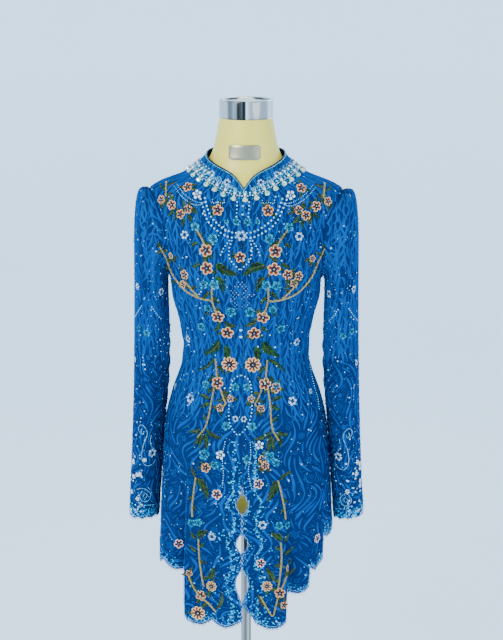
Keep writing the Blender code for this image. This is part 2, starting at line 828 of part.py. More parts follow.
# ---------------------------------------------------------------- beads and zip
def string_of_beads(path, bead_radius):
    """Rings along a path of bead centres: each bead swells and the string between stays thin."""
    rings = []
    for centre, normal, along in path:
        sideways = normal.cross(along).normalized()
        for offset, swell in ((-1.6, 0.34), (-0.6, 0.92), (0.6, 0.92)):
            radius = bead_radius * swell
            middle = centre + along * offset * bead_radius
            ring = []
            for i in range(6):
                turn = math.pi * i / 3
                ring.append(middle + (normal * math.cos(turn) + sideways * math.sin(turn)) * radius)
            rings.append(ring)
    return rings


def neck_path(side, count):
    """Bead centres on the cloth along the collar seam, from the centre front back."""
    _, seam = collar_seam()
    lengths = [0.0]
    for a, b in zip(seam, seam[1:]):
        lengths.append(lengths[-1] + (b[0] - a[0]).length)
    path = []
    for k in range(count):
        reach = lengths[-1] * (k + 0.5) / count
        i = max(n for n in range(len(seam) - 1) if lengths[n] <= reach)
        t = (reach - lengths[i]) / (lengths[i + 1] - lengths[i])
        point = mix(seam[i][0], seam[i + 1][0], t)
        normal = mix(seam[i][1], seam[i + 1][1], t).normalized()
        along = (seam[i + 1][0] - seam[i][0]).normalized()
        flip = Vector((side, 1, 1))
        path.append(((point + normal * PEARL_LIFT) * flip, normal * flip, along * flip))
    return path


def joined(name, meshes, look):
    """One body out of overlapping closed solids."""
    base = meshes[0]
    for other in meshes[1:]:
        union = base.modifiers.new("Join", "BOOLEAN")
        union.operation = "UNION"
        union.object = other
        other.hide_render = True
        other.display_type = "WIRE"
        for owner in list(other.users_collection):
            owner.objects.unlink(other)
        JOINED.objects.link(other)
    base.name = name
    return keep(base, look)


def drop_rings(top, down, out):
    """A teardrop bead hanging from a pearl: narrow above, full below."""
    sideways = down.cross(out).normalized()
    rings = []
    for t, swell in ((0.0, 0.28), (0.3, 0.5), (0.62, 0.95), (0.85, 0.85), (1.0, 0.35)):
        middle = top + down * DROP_LENGTH * t
        ring = []
        for i in range(6):
            turn = math.pi * i / 3
            ring.append(middle + (out * math.cos(turn) + sideways * math.sin(turn)) * DROP_RADIUS * swell)
        rings.append(ring)
    return rings


def make_necklace(side, name):
    path = neck_path(side, PEARLS)
    string = ringed_solid(name + "_string", string_of_beads(path, PEARL_RADIUS), "pearl")
    drops = []
    for k in range(DROPS):
        centre, normal, along = path[k]
        down = normal.cross(along) * side
        down = (-down if down.z > 0 else down).normalized()
        down = (down + normal * DROP_TILT).normalized()
        rings = drop_rings(centre + down * PEARL_RADIUS * 0.5, down, normal)
        drops.append(ringed_solid(f"{name}_drop_{k}", rings, "pearl"))
    joined(name, [string] + drops, "pearl")


def zip_frame():
    """Axes at the slider: across, out of the collar and up along it."""
    point = body_point(180, SLIDER_HEIGHT)
    out = body_normal(180, SLIDER_HEIGHT)
    across = Vector((1, 0, 0))
    up = out.cross(across) if out.cross(across).z > 0 else across.cross(out)
    frame = Matrix((across, out, up)).transposed().to_4x4()
    return Matrix.Translation(point) @ frame


def make_zip_tape():
    """The closed zip behind the centre back seam, up to the slider."""
    places, _ = collar_seam()
    neck_height = places[-1].height
    panel = [mix(ARMPIT, neck_height, j / UPPER_ROWS) for j in range(UPPER_ROWS + 1)]
    heights = TORSO_LEVELS + panel + [SLIDER_HEIGHT - SLIDER_LONG / 2 - 0.6]
    outer, inner = [], []
    for height in heights:
        outer.append([])
        inner.append([])
        point, normal = body_point(180, height), body_normal(180, height)
        for across in (-ZIP_HALF_WIDTH, ZIP_HALF_WIDTH):
            edge = Vector((across, point.y, height))
            outer[-1].append(edge - normal * (CLOTH + ZIP_GAP))
            inner[-1].append(edge - normal * (CLOTH + ZIP_GAP + ZIP_THICK))
    wall("zip_tape", outer, inner, "zip")


def box_between(name, low, high, frame):
    bm = bmesh.new()
    bmesh.ops.create_cube(bm, size=1)
    low, high = Vector(low), Vector(high)
    for vert in bm.verts:
        local = Vector(mix(low[k], high[k], vert.co[k] + 0.5) for k in range(3))
        vert.co = to_metres(frame @ local)
    return mesh_object(name, bm, "zip", smooth_shade=False)


def bail_rings(frame, face):
    """A staple that stands out of the slider, in the plane across = 0, round the hinge."""
    corners = ((-0.5, -0.5), (0.5, -0.5), (0.5, 0.5), (-0.5, 0.5))
    stations = [(-90, -HINGE_OUT - 0.3)] + [(-90 + 30 * k, 0.0) for k in range(7)] + [(90, -HINGE_OUT - 0.3)]
    rings = []
    for angle, back in stations:
        turn = math.radians(angle)
        ring = []
        for dx, dr in corners:
            reach = BAIL_RADIUS + dr * BAIL_THICK
            out = face + HINGE_OUT + back + reach * math.cos(turn)
            ring.append(frame @ Vector((dx * BAIL_THICK, out, reach * math.sin(turn))))
        rings.append(ring)
    return rings


def make_zip_slider():
    """The slider grips the zip behind the collar and shows a nose with a bail outside."""
    frame = zip_frame()
    half = SLIDER_LONG / 2
    face = 1.7
    nose = box_between("zip_slider_nose", (-2.4, 0.35, -half), (2.4, face, half), frame)
    web = box_between("zip_slider_web", (-0.5, -CLOTH - 1.2, -half + 0.5), (0.5, 0.9, half - 0.5), frame)
    grip = box_between("zip_slider_grip", (-3.2, -CLOTH - 1.9, -half), (3.2, -CLOTH - 0.4, half), frame)
    bail = ringed_solid("zip_slider_bail", bail_rings(frame, face), "zip", smooth_shade=False)
    joined("zip_slider", [nose, web, grip, bail], "zip")
    return frame, face


def make_zip_pull(frame, face):
    """A flat tab with an eye round the bail. Its origin is on the hinge, in the bail's middle."""
    curve = bpy.data.curves.new("zip_pull", "CURVE")
    curve.dimensions = "2D"
    curve.fill_mode = "BOTH"
    curve.extrude = PULL_THICK / 2 * 0.001
    half = PULL_WIDTH / 2
    outline = [(-2.0, 0.55), (2.0, 0.55), (2.2, -4.6), (half, -PULL_LENGTH + half)]
    for k in range(1, 8):
        turn = math.pi * k / 8
        outline.append((half * math.cos(turn), -PULL_LENGTH + half - half * math.sin(turn)))
    outline += [(-half, -PULL_LENGTH + half), (-2.2, -4.6)]
    eye = [(-1.2, -0.55), (-1.2, -3.9), (1.2, -3.9), (1.2, -0.55)]
    for points in (outline, eye):
        spline = curve.splines.new("POLY")
        spline.points.add(len(points) - 1)
        spline.use_cyclic_u = True
        for spot, (x, y) in zip(spline.points, points):
            spot.co = (x * 0.001, y * 0.001, 0, 1)
    curve.materials.append(material("chrome"))
    pull = bpy.data.objects.new("zip_pull", curve)
    PART.objects.link(pull)
    flat = Matrix.Rotation(math.radians(90), 4, "X")
    place = frame @ Matrix.Translation((0, face + HINGE_OUT, 0)) @ flat
    pull.matrix_world = Matrix.Translation(to_metres(place.to_translation())) @ place.to_3x3().to_4x4()
    return pull


# ---------------------------------------------------------------- the whole part
for old in list(bpy.data.objects):
    bpy.data.objects.remove(old, do_unlink=True)
PART = bpy.data.collections.new("kebaya_blouse_on_form")
JOINED = bpy.data.collections.new("joined_shapes")
bpy.context.scene.collection.children.link(PART)
bpy.context.scene.collection.children.link(JOINED)
ARMHOLE_MIDDLE = Vector((182, 0, (ARMPIT + SHOULDER_TIP) / 2))

make_stand()
make_form()
make_neck_plate()
for panel in HEM_LOBES:
    make_panel(panel)
for side, word in ((1, "left"), (-1, "right")):
    make_collar(side, "collar_" + word)
    make_sleeve(side, "sleeve_" + word)
    make_necklace(side, "necklace_" + word)
make_zip_tape()
slider_frame, slider_face = make_zip_slider()
make_zip_pull(slider_frame, slider_face)
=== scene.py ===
"""The looks of a beaded lace kebaya blouse standing on a limbless dress form.

Lengths are in millimetres and angles in degrees until a mesh is made. The blouse faces -Y, and its left is +X.
The cloth's surface is worked out from the same tables as the solids, and everything sewn on it is laid on that
surface: lace cords by the distance round the body, flowers and beads by where they show on the front.
"""

import math
from collections import namedtuple

import bpy
import numpy as np
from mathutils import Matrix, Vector
from mathutils.bvhtree import BVHTree


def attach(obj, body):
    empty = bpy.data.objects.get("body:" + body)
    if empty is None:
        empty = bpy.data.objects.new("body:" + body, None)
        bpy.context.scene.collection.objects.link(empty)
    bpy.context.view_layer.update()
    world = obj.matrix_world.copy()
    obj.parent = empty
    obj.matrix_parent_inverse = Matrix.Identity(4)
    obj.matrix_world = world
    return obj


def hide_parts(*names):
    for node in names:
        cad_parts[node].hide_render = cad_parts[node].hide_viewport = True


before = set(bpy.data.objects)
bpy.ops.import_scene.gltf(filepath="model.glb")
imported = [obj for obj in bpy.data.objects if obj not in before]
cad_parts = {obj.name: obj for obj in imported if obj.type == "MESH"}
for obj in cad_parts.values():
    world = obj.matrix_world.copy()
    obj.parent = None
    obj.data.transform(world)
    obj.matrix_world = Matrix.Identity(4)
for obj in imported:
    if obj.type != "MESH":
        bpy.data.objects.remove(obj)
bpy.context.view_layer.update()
BODY = "blouse_on_form"
CHANCE = np.random.default_rng(11)


def any_turn(count=None):
    """A full turn or less at random, in radians."""
    return CHANCE.uniform(0, 6.28, count)


# ---------- sizes in mm, most of them the solids' own
HALF_SEAM, HALF_ZIP = 0.15, 0.9
SHELL, COLLAR_SHELL = 0.9, 1.3  # thickness of the shown cloth
CORD_HEIGHT = 0.8  # of the lace's cords above the net
SLIDER_BOTTOM, COIL_PITCH = 1404.0, 1.25
HIP, WAIST, ARMPIT, SHOULDER_TIP = 950.0, 1035.0, 1175.0, 1345.0
ARMHOLE_FRONT, ARMHOLE_BACK = 56.0, 50.0
NECK_WIDE, NECK_FRONT, NECK_BACK = 100.0, 83.0, 65.0
FORM_BOTTOM, HIPS_END, CHEST_END, NECK_START, NECK_TOP = 690.0, 905.0, 1376.0, 1384.0, 1480.0
CAP_RADIUS, CAP_HEIGHT = 50.5, 34.0
POLE_RADIUS, POLE_BOTTOM = 10.5, 12.4
FLANGE_RADIUS, BASE_RADIUS, BASE_THICK = 44.0, 200.0, 12.0
PLATE_LOW, PLATE_HIGH, PLATE_HALF_WIDTH, PLATE_THICK = 1408.0, 1435.0, 28.5, 1.2


def table(kind, rows):
    return [kind(*row) for row in rows]


Ring = namedtuple("Ring", "height half_width front back power")
BODY_RINGS = table(Ring, [
    (1432, 69, 58, 54, 2.00), (1419, 72, 60, 56, 2.00), (1410, 77, 62, 58, 2.00), (1400, 86, 65, 61, 2.00),
    (1392, 96, 67.5, 63, 1.95), (1384, 107, 70, 65.5, 1.90), (1376, 119, 73, 68, 1.85),
    (1368.5, 140, 76, 71, 1.80), (1361, 160, 79, 73.5, 1.80), (1353, 175, 81.5, 76, 1.82),
    (1345, 184, 84, 78.5, 1.86), (1330, 186, 88.5, 84, 1.95), (1300, 178, 96, 91, 2.15),
    (1260, 167, 104, 98, 2.35), (1215, 155, 110, 102, 2.40), (1175, 145, 112, 102, 2.35),
    (1140, 142, 110, 99, 2.25), (1100, 131.5, 104, 92, 2.15), (1060, 124.5, 97, 84, 2.10),
    (1025, 122.5, 94, 80, 2.10), (990, 129, 98, 88, 2.10), (950, 143.5, 106, 104, 2.15),
    (900, 157, 117, 119, 2.20), (850, 163, 126, 127, 2.25), (800, 166.5, 133, 131, 2.30),
    (700, 172, 142, 137, 2.30), (600, 177, 149, 142, 2.30), (500, 181, 153, 146, 2.30),
])
HIP_RINGS = table(Ring, [
    (FORM_BOTTOM, 128, 90, 92, 2.1), (702, 138, 98, 100, 2.1), (750, 146, 104, 108, 2.15),
    (810, 153, 108, 114, 2.2), (860, 155, 110, 117, 2.2), (HIPS_END, 152.5, 110, 114.5, 2.2),
])
NECK_RINGS = table(Ring, [
    (NECK_START, 95, 63, 58, 1.95), (1392, 82, 60.5, 56, 2.0), (1402, 72, 58, 54.5, 2.0),
    (1417, 63.5, 56, 53, 2.0),
    (1442, 57, 54, 52, 2.0), (NECK_TOP, 50, 50, 50, 2.0),
])
BUST_X, BUST_HEIGHT = 68.0, 1152.0
BUST_WIDE, BUST_TALL, BUST_DEEP = 40.0, 44.0, 11.0
Fold = namedtuple("Fold", "angle width depth top")
FOLDS = table(Fold, [
    (-33.5, 7.0, 9.0, 900), (-42.0, 4.2, -27.0, 905), (-61.0, 9.0, 5.0, 800), (23.0, 6.5, 7.0, 860),
    (30.5, 4.5, -15.0, 850), (45.0, 6.0, 5.0, 800), (57.0, 6.0, -8.0, 780), (-118.0, 8.0, 7.0, 860),
    (-130.0, 8.0, -11.0, 860), (-150.0, 9.0, 8.0, 880), (124.0, 9.0, 8.0, 860), (139.0, 8.0, -12.0, 870),
    (156.0, 9.0, 7.0, 880),
])
FOLD_FULL = 560.0  # the height at which every fold has its whole depth
Lobe = namedtuple("Lobe", "start end height end_height sag columns")
HEM_LOBES = {
    "front_left": table(Lobe, [
        (0, 7.5, 553, 511, 2, 3), (7.5, 24.5, 511, 514, 12, 5), (26, 43, 577, 577, 12, 3),
        (44.5, 62, 617, 617, 12, 3), (63.5, 90, 668, 668, 11, 3),
    ]),
    "front_right": table(Lobe, [
        (0, 16, 517, 517, 15, 5), (16, 34, 517, 517, 15, 5), (36, 60, 613, 613, 12, 4),
        (60, 90, 613, 613, 12, 4),
    ]),
    "back_left": table(Lobe, [
        (0, 22, 642, 642, 11, 3), (22, 44, 646, 646, 11, 3), (44, 66, 656, 656, 11, 3),
        (66, 90, 668, 668, 11, 3),
    ]),
    "back_right": table(Lobe, [
        (0, 22, 640, 640, 11, 3), (22, 44, 636, 636, 11, 3), (44, 66, 628, 628, 11, 3),
        (66, 90, 616, 616, 11, 3),
    ]),
}
SLIT_HEIGHTS, HALF_GAPS = np.array([  # the front panels touch where the half gap is only the seam's
    (500, HALF_SEAM), (554, HALF_SEAM), (576, 8.0), (592, 13.0), (608, 10.5), (625, HALF_SEAM),
    (655, HALF_SEAM), (666, 8.5), (677, 12.0), (689, 7.5), (699, HALF_SEAM), (735, HALF_SEAM), (746, 8.5),
    (757, 12.0), (769, 7.0), (780, HALF_SEAM),
]).T
SLIT_SPREAD = 46.0  # how far from the middle the cloth makes room for the slit
NECK_SHARE = {"front": 0.6, "back": 0.5}  # how much of a panel's top edge is the collar seam
CollarTop = namedtuple("CollarTop", "angle height")
COLLAR_TOP = table(CollarTop, [
    (0, 1358), (3, 1366), (8, 1377), (17, 1388), (35, 1398), (60, 1408), (90, 1416), (135, 1420), (180, 1422),
])
SleeveRing = namedtuple("SleeveRing", "step over_x over_z under_x under_z front back seam")
SLEEVE_RINGS = table(SleeveRing, [  # seam is how much of the armhole's own shape the ring keeps
    (0, 192.5, 1348, 147.2, 1178.6, 58, 52, 0.8), (1, 201, 1344.5, 149.8, 1177.4, 60, 54, 0.45),
    (2, 207, 1333, 151.2, 1170, 60, 54, 0.18), (3, 211, 1310, 151.2, 1155, 58, 53, 0.05),
    (4, 214, 1268, 150.8, 1133, 55, 52, 0), (5, 215.5, 1212, 150.6, 1105, 52, 51, 0),
    (6, 217, 1148, 150.4, 1070, 50, 50, 0), (7, 219, 1086, 150.6, 1034, 50, 50, 0),
    (8, 221.5, 1020, 152.2, 990, 49, 50, 0), (9, 224, 958, 156, 942, 48, 48, 0),
    (10, 227, 897, 161.5, 892, 46, 46, 0), (11, 230, 838, 166.2, 836, 44, 44, 0),
    (12, 233, 782, 170.6, 781, 42, 42, 0), (13, 236, 730, 174.6, 730, 40, 40, 0),
    (14, 238, 682, 178, 682, 38, 38, 0),
])
CUFF_LIFT = {"left": (14, 4), "right": (0, 0)}  # outer and inner side of each cuff
CUFF_SCALLOPS, CUFF_SAG, ELBOW_STEP = 10, 4.0, 7.6
SIDES = {"left": 1, "right": -1}


# ---------- the cloth's surface
def smooth(value):
    t = np.clip(value, 0.0, 1.0)
    return t * t * (3 - 2 * t)


def mix(a, b, t):
    return a + (b - a) * t


def lengths_along(points):
    """How far along a row of points each of them lies."""
    steps = np.linalg.norm(np.diff(points, axis=-2), axis=-1)
    return np.concatenate([np.zeros((*steps.shape[:-1], 1)), np.cumsum(steps, -1)], -1)


def between(at, marks, values):
    """Rows of a table read at places between its marks."""
    return np.stack([np.interp(at, marks, values[:, k]) for k in range(values.shape[1])], -1)


def unit(vectors):
    return vectors / np.maximum(np.linalg.norm(vectors, axis=-1, keepdims=True), 1e-9)


def read_table(rows, key, column, at):
    """A column of a table at any keys, through all its rows, with no corner at a row."""
    rows = sorted(rows, key=lambda row: getattr(row, key))
    keys = np.array([getattr(row, key) for row in rows], float)
    values = np.array([getattr(row, column) for row in rows], float)
    slopes = np.empty_like(values)
    slopes[1:-1] = (values[2:] - values[:-2]) / (keys[2:] - keys[:-2])
    slopes[0] = (values[1] - values[0]) / (keys[1] - keys[0])
    slopes[-1] = (values[-1] - values[-2]) / (keys[-1] - keys[-2])
    at = np.clip(np.asarray(at, float), keys[0], keys[-1])
    i = np.clip(np.searchsorted(keys, at, side="right") - 1, 0, len(keys) - 2)
    step = keys[i + 1] - keys[i]
    t = (at - keys[i]) / step
    start = (1 + 2 * t) * (1 - t) ** 2 * values[i] + t * (1 - t) ** 2 * step * slopes[i]
    return start + t * t * (3 - 2 * t) * values[i + 1] + t * t * (t - 1) * step * slopes[i + 1]


def ring_spot(rows, angle, height):
    """Points of the rings. The angle is 0 at the centre front and 180 at the centre back."""
    angle, height = np.broadcast_arrays(np.asarray(angle, float), np.asarray(height, float))
    half_width, front, back, power = (
        read_table(rows, "height", column, height) for column in ("half_width", "front", "back", "power")
    )
    across, along = np.sin(np.radians(angle)), np.cos(np.radians(angle))
    x = half_width * np.sign(across) * np.abs(across) ** (2 / power)
    y = -np.where(along > 0, front, back) * np.sign(along) * np.abs(along) ** (2 / power)
    return np.stack([x, y, height], -1)


def slit_gap(height):
    """Half the gap between the front panels."""
    return np.interp(height, SLIT_HEIGHTS, HALF_GAPS) * (np.asarray(height) < HIP)


def body_ring(angle, height):
    """Points of the body's rings with the bust's swell, for angles from 0 to 180."""
    point = ring_spot(BODY_RINGS, angle, height)
    across = (np.abs(point[..., 0]) - BUST_X) / BUST_WIDE
    up = (point[..., 2] - BUST_HEIGHT) / BUST_TALL
    point[..., 1] -= BUST_DEEP * smooth(-point[..., 1] / 70) * np.exp(-across * across - up * up)
    return point


def half_cloth(side, angle, height):
    """The cloth on one side with its x turned positive. Angles run from 0 to 180."""
    point = body_ring(angle, height)
    depth = creases(side, angle, height)
    for fold in FOLDS:
        away = (angle * side - fold.angle) / fold.width
        grown = smooth((fold.top - height) / (fold.top - FOLD_FULL))
        depth = depth + fold.depth * grown * np.exp(-away * away)
    point = point + unit(point * [1, 1, 0]) * depth[..., None]
    spread = np.clip(1 - point[..., 0] / SLIT_SPREAD, 0, 1) * (np.asarray(angle) < 60)
    point[..., 0] += slit_gap(height) * spread
    return point


def creases(side, angle, height):
    """Small drag lines: round the waist's sides, under the arms and down the skirt's sides."""
    angle, height = np.broadcast_arrays(np.asarray(angle, float), np.asarray(height, float))
    near_waist = np.exp(-(((height - WAIST) / 42) ** 2)) * smooth((angle - 25) / 50)
    near_waist = near_waist * smooth((172 - angle) / 30)
    waist = 1.1 * near_waist * np.sin((height + 0.5 * angle * side) / 8.5)
    near_pit = np.exp(-(((height - (ARMPIT + 20)) / 50) ** 2)) * np.exp(-(((angle - 72) / 22) ** 2))
    pit = 1.3 * near_pit * np.sin((height * 0.55 - 1.3 * angle) / 5.0)
    skirt = 1.5 * smooth((880 - height) / 160) * np.sin(math.pi * angle / 14 + side * 0.9)
    return waist + pit + skirt * smooth((angle - 8) / 20)


def cloth(side, angle, height):
    """Points and outward normals of the body's cloth on one side."""
    angle, height = np.broadcast_arrays(np.asarray(angle, float), np.asarray(height, float))
    point = half_cloth(side, angle, height)
    around = half_cloth(side, angle + 0.8, height) - half_cloth(side, angle - 0.8, height)
    up = half_cloth(side, angle, height + 2) - half_cloth(side, angle, height - 2)
    normal = unit(np.cross(around, up))
    flip = np.array([side, 1, 1])
    point[..., 0] = np.maximum(point[..., 0], HALF_SEAM)
    return point * flip, normal * flip


def angle_at(x, height, front):
    """The ring angle at which the cloth has this x."""
    half_width = read_table(BODY_RINGS, "height", "half_width", height)
    power = read_table(BODY_RINGS, "height", "power", height)
    turn = np.degrees(np.arcsin(np.clip(x / half_width, 0, 1) ** (power / 2)))
    return turn if front else 180 - turn


def ring_sizes(height, front):
    """The body rings' half width, depth to the front or the back, and power."""
    columns = ("half_width", "front" if front else "back", "power")
    return [read_table(BODY_RINGS, "height", column, height) for column in columns]


def armhole_spot(share, front):
    """(x, height) on the armhole seam: share 0 is the armpit and 1 the shoulder tip."""
    turn = math.pi * share
    height = (SHOULDER_TIP + ARMPIT) / 2 - (SHOULDER_TIP - ARMPIT) / 2 * math.cos(turn)
    half_width, deep, power = map(float, ring_sizes(height, front))
    reach = ARMHOLE_FRONT if front else ARMHOLE_BACK
    inward = max(0.0, reach * math.sin(turn) / deep) ** power
    return half_width * (1 - inward) ** (1 / power), height


def armhole_place(share, front):
    x, height = armhole_spot(share, front)
    if share in (0, 1):
        return 90.0, height
    return float(angle_at(x, height, front)), height


def neck_place(turn, front):
    """(angle, height) on the collar seam: turn 0 is the centre and 90 the side of the neck."""
    x = NECK_WIDE * math.sin(math.radians(turn))
    y = (NECK_FRONT if front else NECK_BACK) * math.cos(math.radians(turn))
    levels = np.linspace(1340, 1419, 400)
    half_width, deep, power = ring_sizes(levels, front)
    outside = (x / half_width) ** power + (y / deep) ** power >= 1
    height = levels[np.argmax(outside)]
    return (90.0 if turn == 90 else float(angle_at(x, height, front))), height


# ---------- painting
def math_method(operation, reflected=False):
    """An operator of Wire. It adds a Math node, with the other value first where it is reflected."""

    def method(self, other):
        values = (other, self) if reflected else (self, other)
        return self.paint.node("Math", dict(enumerate(values)), operation=operation)

    return method


class Wire:
    """An output socket of a material, to be used in expressions such as 1 - mask."""

    def __init__(self, paint, socket):
        self.paint, self.socket = paint, socket

    __add__, __radd__ = math_method("ADD"), math_method("ADD", True)
    __sub__, __rsub__ = math_method("SUBTRACT"), math_method("SUBTRACT", True)
    __mul__, __rmul__ = math_method("MULTIPLY"), math_method("MULTIPLY", True)
    __gt__ = math_method("GREATER_THAN")


class Paint:
    """A material and its nodes."""

    def __init__(self, name, **finish):
        self.material = bpy.data.materials.new(name)
        self.material.use_nodes = True
        self.tree = self.material.node_tree
        self.shader = self.tree.nodes["Principled BSDF"]
        for key, value in finish.items():
            self.set(key.replace("_", " ").title().replace("Ior", "IOR"), value)

    def set(self, key, value):
        socket = self.shader.inputs[key]
        if isinstance(value, Wire):
            self.tree.links.new(value.socket, socket)
        else:
            socket.default_value = (*value, 1) if hasattr(value, "__len__") and len(value) == 3 else value

    def node(self, kind, inputs=None, output=0, stops=None, **settings):
        """Adds a node: its settings first, then the values or links of its sockets."""
        made = self.tree.nodes.new("ShaderNode" + kind)
        for key, value in settings.items():
            setattr(made, key, value)
        if stops:
            ramp = made.color_ramp
            while len(ramp.elements) < len(stops):
                ramp.elements.new(0.5)
            for element, (place, colour) in zip(ramp.elements, stops):
                element.position = place
                element.color = (*colour, 1)
        for key, value in (inputs or {}).items():
            if isinstance(value, Wire):
                self.tree.links.new(value.socket, made.inputs[key])
            else:
                made.inputs[key].default_value = value
        return Wire(self, made.outputs[output])

    def blend(self, factor, low, high):
        """Mixes two colours."""
        wired = {0: factor}
        for index, colour in ((6, low), (7, high)):
            wired[index] = colour if isinstance(colour, Wire) else (*colour, 1)
        return self.node("Mix", wired, output=2, data_type="RGBA")

    def noise(self, place, scale, detail=2.0):
        return self.node("TexNoise", {"Vector": place, "Scale": scale, "Detail": detail})

    def waves(self, place, scale, distortion, **settings):
        return self.node("TexWave", {"Vector": place, "Scale": scale, "Distortion": distortion}, **settings)

    def ramp(self, factor, stops):
        return self.node("ValToRGB", {0: factor}, stops=stops)

    def bump(self, height, strength, distance):
        self.set("Normal", self.node("Bump", {"Height": height, "Strength": strength, "Distance": distance}))


def millimetres(paint):
    """Object coordinates in millimetres."""
    place = paint.node("TexCoord", output=3)
    return paint.node("VectorMath", {0: place, 3: 1000.0}, operation="SCALE")


def cloth_millimetres(paint):
    """The distance round and up the cloth, in millimetres, from its map."""
    return paint.node("UVMap", uv_map="cloth")


def make_net():
    """The ground of the lace: fine net over a plain lining."""
    paint = Paint("lace_net", roughness=0.7, specular_ior_level=0.03)
    place = cloth_millimetres(paint)
    cells = {"Vector": place, "Scale": 0.62, "Randomness": 0.35}
    mesh = paint.node("TexVoronoi", cells, feature="DISTANCE_TO_EDGE")
    thread = paint.ramp(mesh, [(0.05, (1, 1, 1)), (0.2, (0, 0, 0))])
    cloud = paint.noise(place, 0.045, 3.0)
    shade = paint.blend(cloud, (0.0, 0.010, 0.050), (0.0, 0.022, 0.098))
    paint.set("Base Color", paint.blend(thread * 0.45, shade, (0.0, 0.036, 0.165)))
    paint.bump(thread, 0.35, 0.0004)
    return paint.material


def make_cord_paint():
    """Embroidery cord with a soft lustre, its thread showing as fine slanting lines."""
    paint = Paint("lace_cord", roughness=0.42, metallic=0.3, specular_ior_level=0.0,
                  specular_tint=(0.0, 0.5, 1.0))
    place = millimetres(paint)
    cloud = paint.noise(place, 0.03)
    thread = paint.waves(place, 0.55, 2.0, bands_direction="DIAGONAL")
    paint.set("Base Color", paint.blend(cloud, (0.0, 0.040, 0.175), (0.0, 0.098, 0.350)))
    paint.bump(thread, 0.25, 0.0003)
    return paint.material


def make_bead_paint(name, low, high, roughness, metallic=0.0, coat=0.6, patches=0.16, gloss=0.5):
    """Glass or pearl beads that differ a little from each other."""
    paint = Paint(name, roughness=roughness, metallic=metallic, specular_ior_level=gloss, coat_weight=coat,
                  coat_roughness=0.05)
    cloud = paint.noise(millimetres(paint), patches, 1.0)
    paint.set("Base Color", paint.ramp(cloud, [(0.40, low), (0.58, high)]))
    return paint.material


def make_petal_paint():
    """Satin stitch, deep red at the heart and pale coral at the tips."""
    paint = Paint("petal_silk", roughness=0.5, specular_ior_level=0.3)
    tint = paint.node("Attribute", output=2, attribute_name="tint")
    stops = [(0.0, (0.02, 0.001, 0.002)), (0.34, (0.10, 0.003, 0.004)), (0.66, (0.36, 0.022, 0.010)),
             (0.98, (0.80, 0.25, 0.08))]
    paint.set("Base Color", paint.ramp(tint, stops))
    thread = paint.waves(millimetres(paint), 0.9, 1.0)
    paint.bump(thread, 0.3, 0.0003)
    return paint.material


def make_leaf_paint():
    """Dark green bugle beads whose green differs at random from bead to bead."""
    paint = Paint("leaf_beads", roughness=0.4, specular_ior_level=0.3)
    tint = paint.node("Attribute", output=2, attribute_name="tint")
    cloud = paint.noise(millimetres(paint), 0.5)
    stops = [(0.0, (0.0, 0.006, 0.002)), (0.5, (0.001, 0.025, 0.006)), (1.0, (0.022, 0.105, 0.014))]
    paint.set("Base Color", paint.ramp(tint * 0.7 + cloud * 0.35, stops))
    beads = paint.node("TexVoronoi", {"Vector": millimetres(paint), "Scale": 0.75})
    paint.bump(beads, 0.5, 0.0005)
    return paint.material


def make_thread_paint(name, low, high, roughness=0.38, metallic=0.0):
    """Twisted thread: two tones along its own length."""
    paint = Paint(name, roughness=roughness, metallic=metallic)
    place = millimetres(paint)
    twist = paint.waves(place, 0.42, 1.5, bands_direction="DIAGONAL")
    cloud = paint.noise(place, 0.3)
    paint.set("Base Color", paint.blend(twist * 0.6 + cloud * 0.4, low, high))
    paint.bump(twist, 0.4, 0.0003)
    return paint.material


def make_chrome(name, front):
    """Polished plate whose base colour holds painted reflections of the room in upright bands round it, and one
    flat painted reflection on faces that look up. front lists (place across, brightness of the painted
    reflection).
    """
    paint = Paint(name, metallic=1.0)
    place = millimetres(paint)
    axes = [paint.node("SeparateXYZ", {0: place}, output=n) for n in (0, 1)]
    turn = paint.node("Math", {0: axes[0], 1: 0 - axes[1]}, operation="ARCTAN2") * (0.5 / math.pi) + 0.5
    # painted reflections: bands by the angle round the axis, lighter round the back and darker at the sides
    stops = [(0.5 + math.asin(x) / (2 * math.pi), bright) for x, bright in front]
    stops = [(0.0, 0.6), (0.07, 0.6), (0.15, 0.3), *stops, (0.85, 0.3), (0.93, 0.6)]
    painted_reflection_bands = paint.ramp(turn, [(at, (b, b * 0.99, b * 0.95)) for at, b in stops])
    upward = paint.node("SeparateXYZ", {0: paint.node("NewGeometry", output=1)}, output=2)
    # faces that look up get one flat colour, a painted reflection of what is above them
    paint.set("Base Color", paint.blend(upward > 0.9, painted_reflection_bands, (0.36, 0.41, 0.44)))
    haze = paint.noise(place, 0.02, 4.0)
    paint.set("Roughness", paint.node("MapRange", {0: haze, 3: 0.1, 4: 0.22}))
    return paint.material


def make_plate_metal():
    """Brushed nickel, with fine lines across."""
    paint = Paint("brushed_plate", metallic=1.0, roughness=0.34)
    place = paint.node("VectorMath", {0: millimetres(paint), 1: (0.4, 0.4, 6.0)}, operation="MULTIPLY")
    brush = paint.noise(place, 1.0, 4.0)
    paint.set("Base Color", paint.blend(brush, (0.19, 0.165, 0.105), (0.43, 0.375, 0.25)))
    paint.bump(brush, 0.15, 0.0003)
    return paint.material


def make_form_paint():
    """Cream moulded shell, smooth, with the faint cloudiness of handled plastic and a faint painted glow that
    lightens it where it lies in shade.
    """
    paint = Paint("form_cream", roughness=0.42, coat_weight=0.12, coat_roughness=0.3)
    place = millimetres(paint)
    cloud = paint.noise(place, 0.012, 3.0)
    paint.set("Base Color", paint.blend(cloud, (0.67, 0.54, 0.05), (0.74, 0.61, 0.075)))
    # a painted glow, not a lamp: it lifts the form where the blouse shades it
    paint.set("Emission Color", (0.72, 0.58, 0.12))
    paint.set("Emission Strength", 0.16)
    grain = paint.noise(place, 0.9)
    paint.bump(grain, 0.06, 0.0004)
    return paint.material


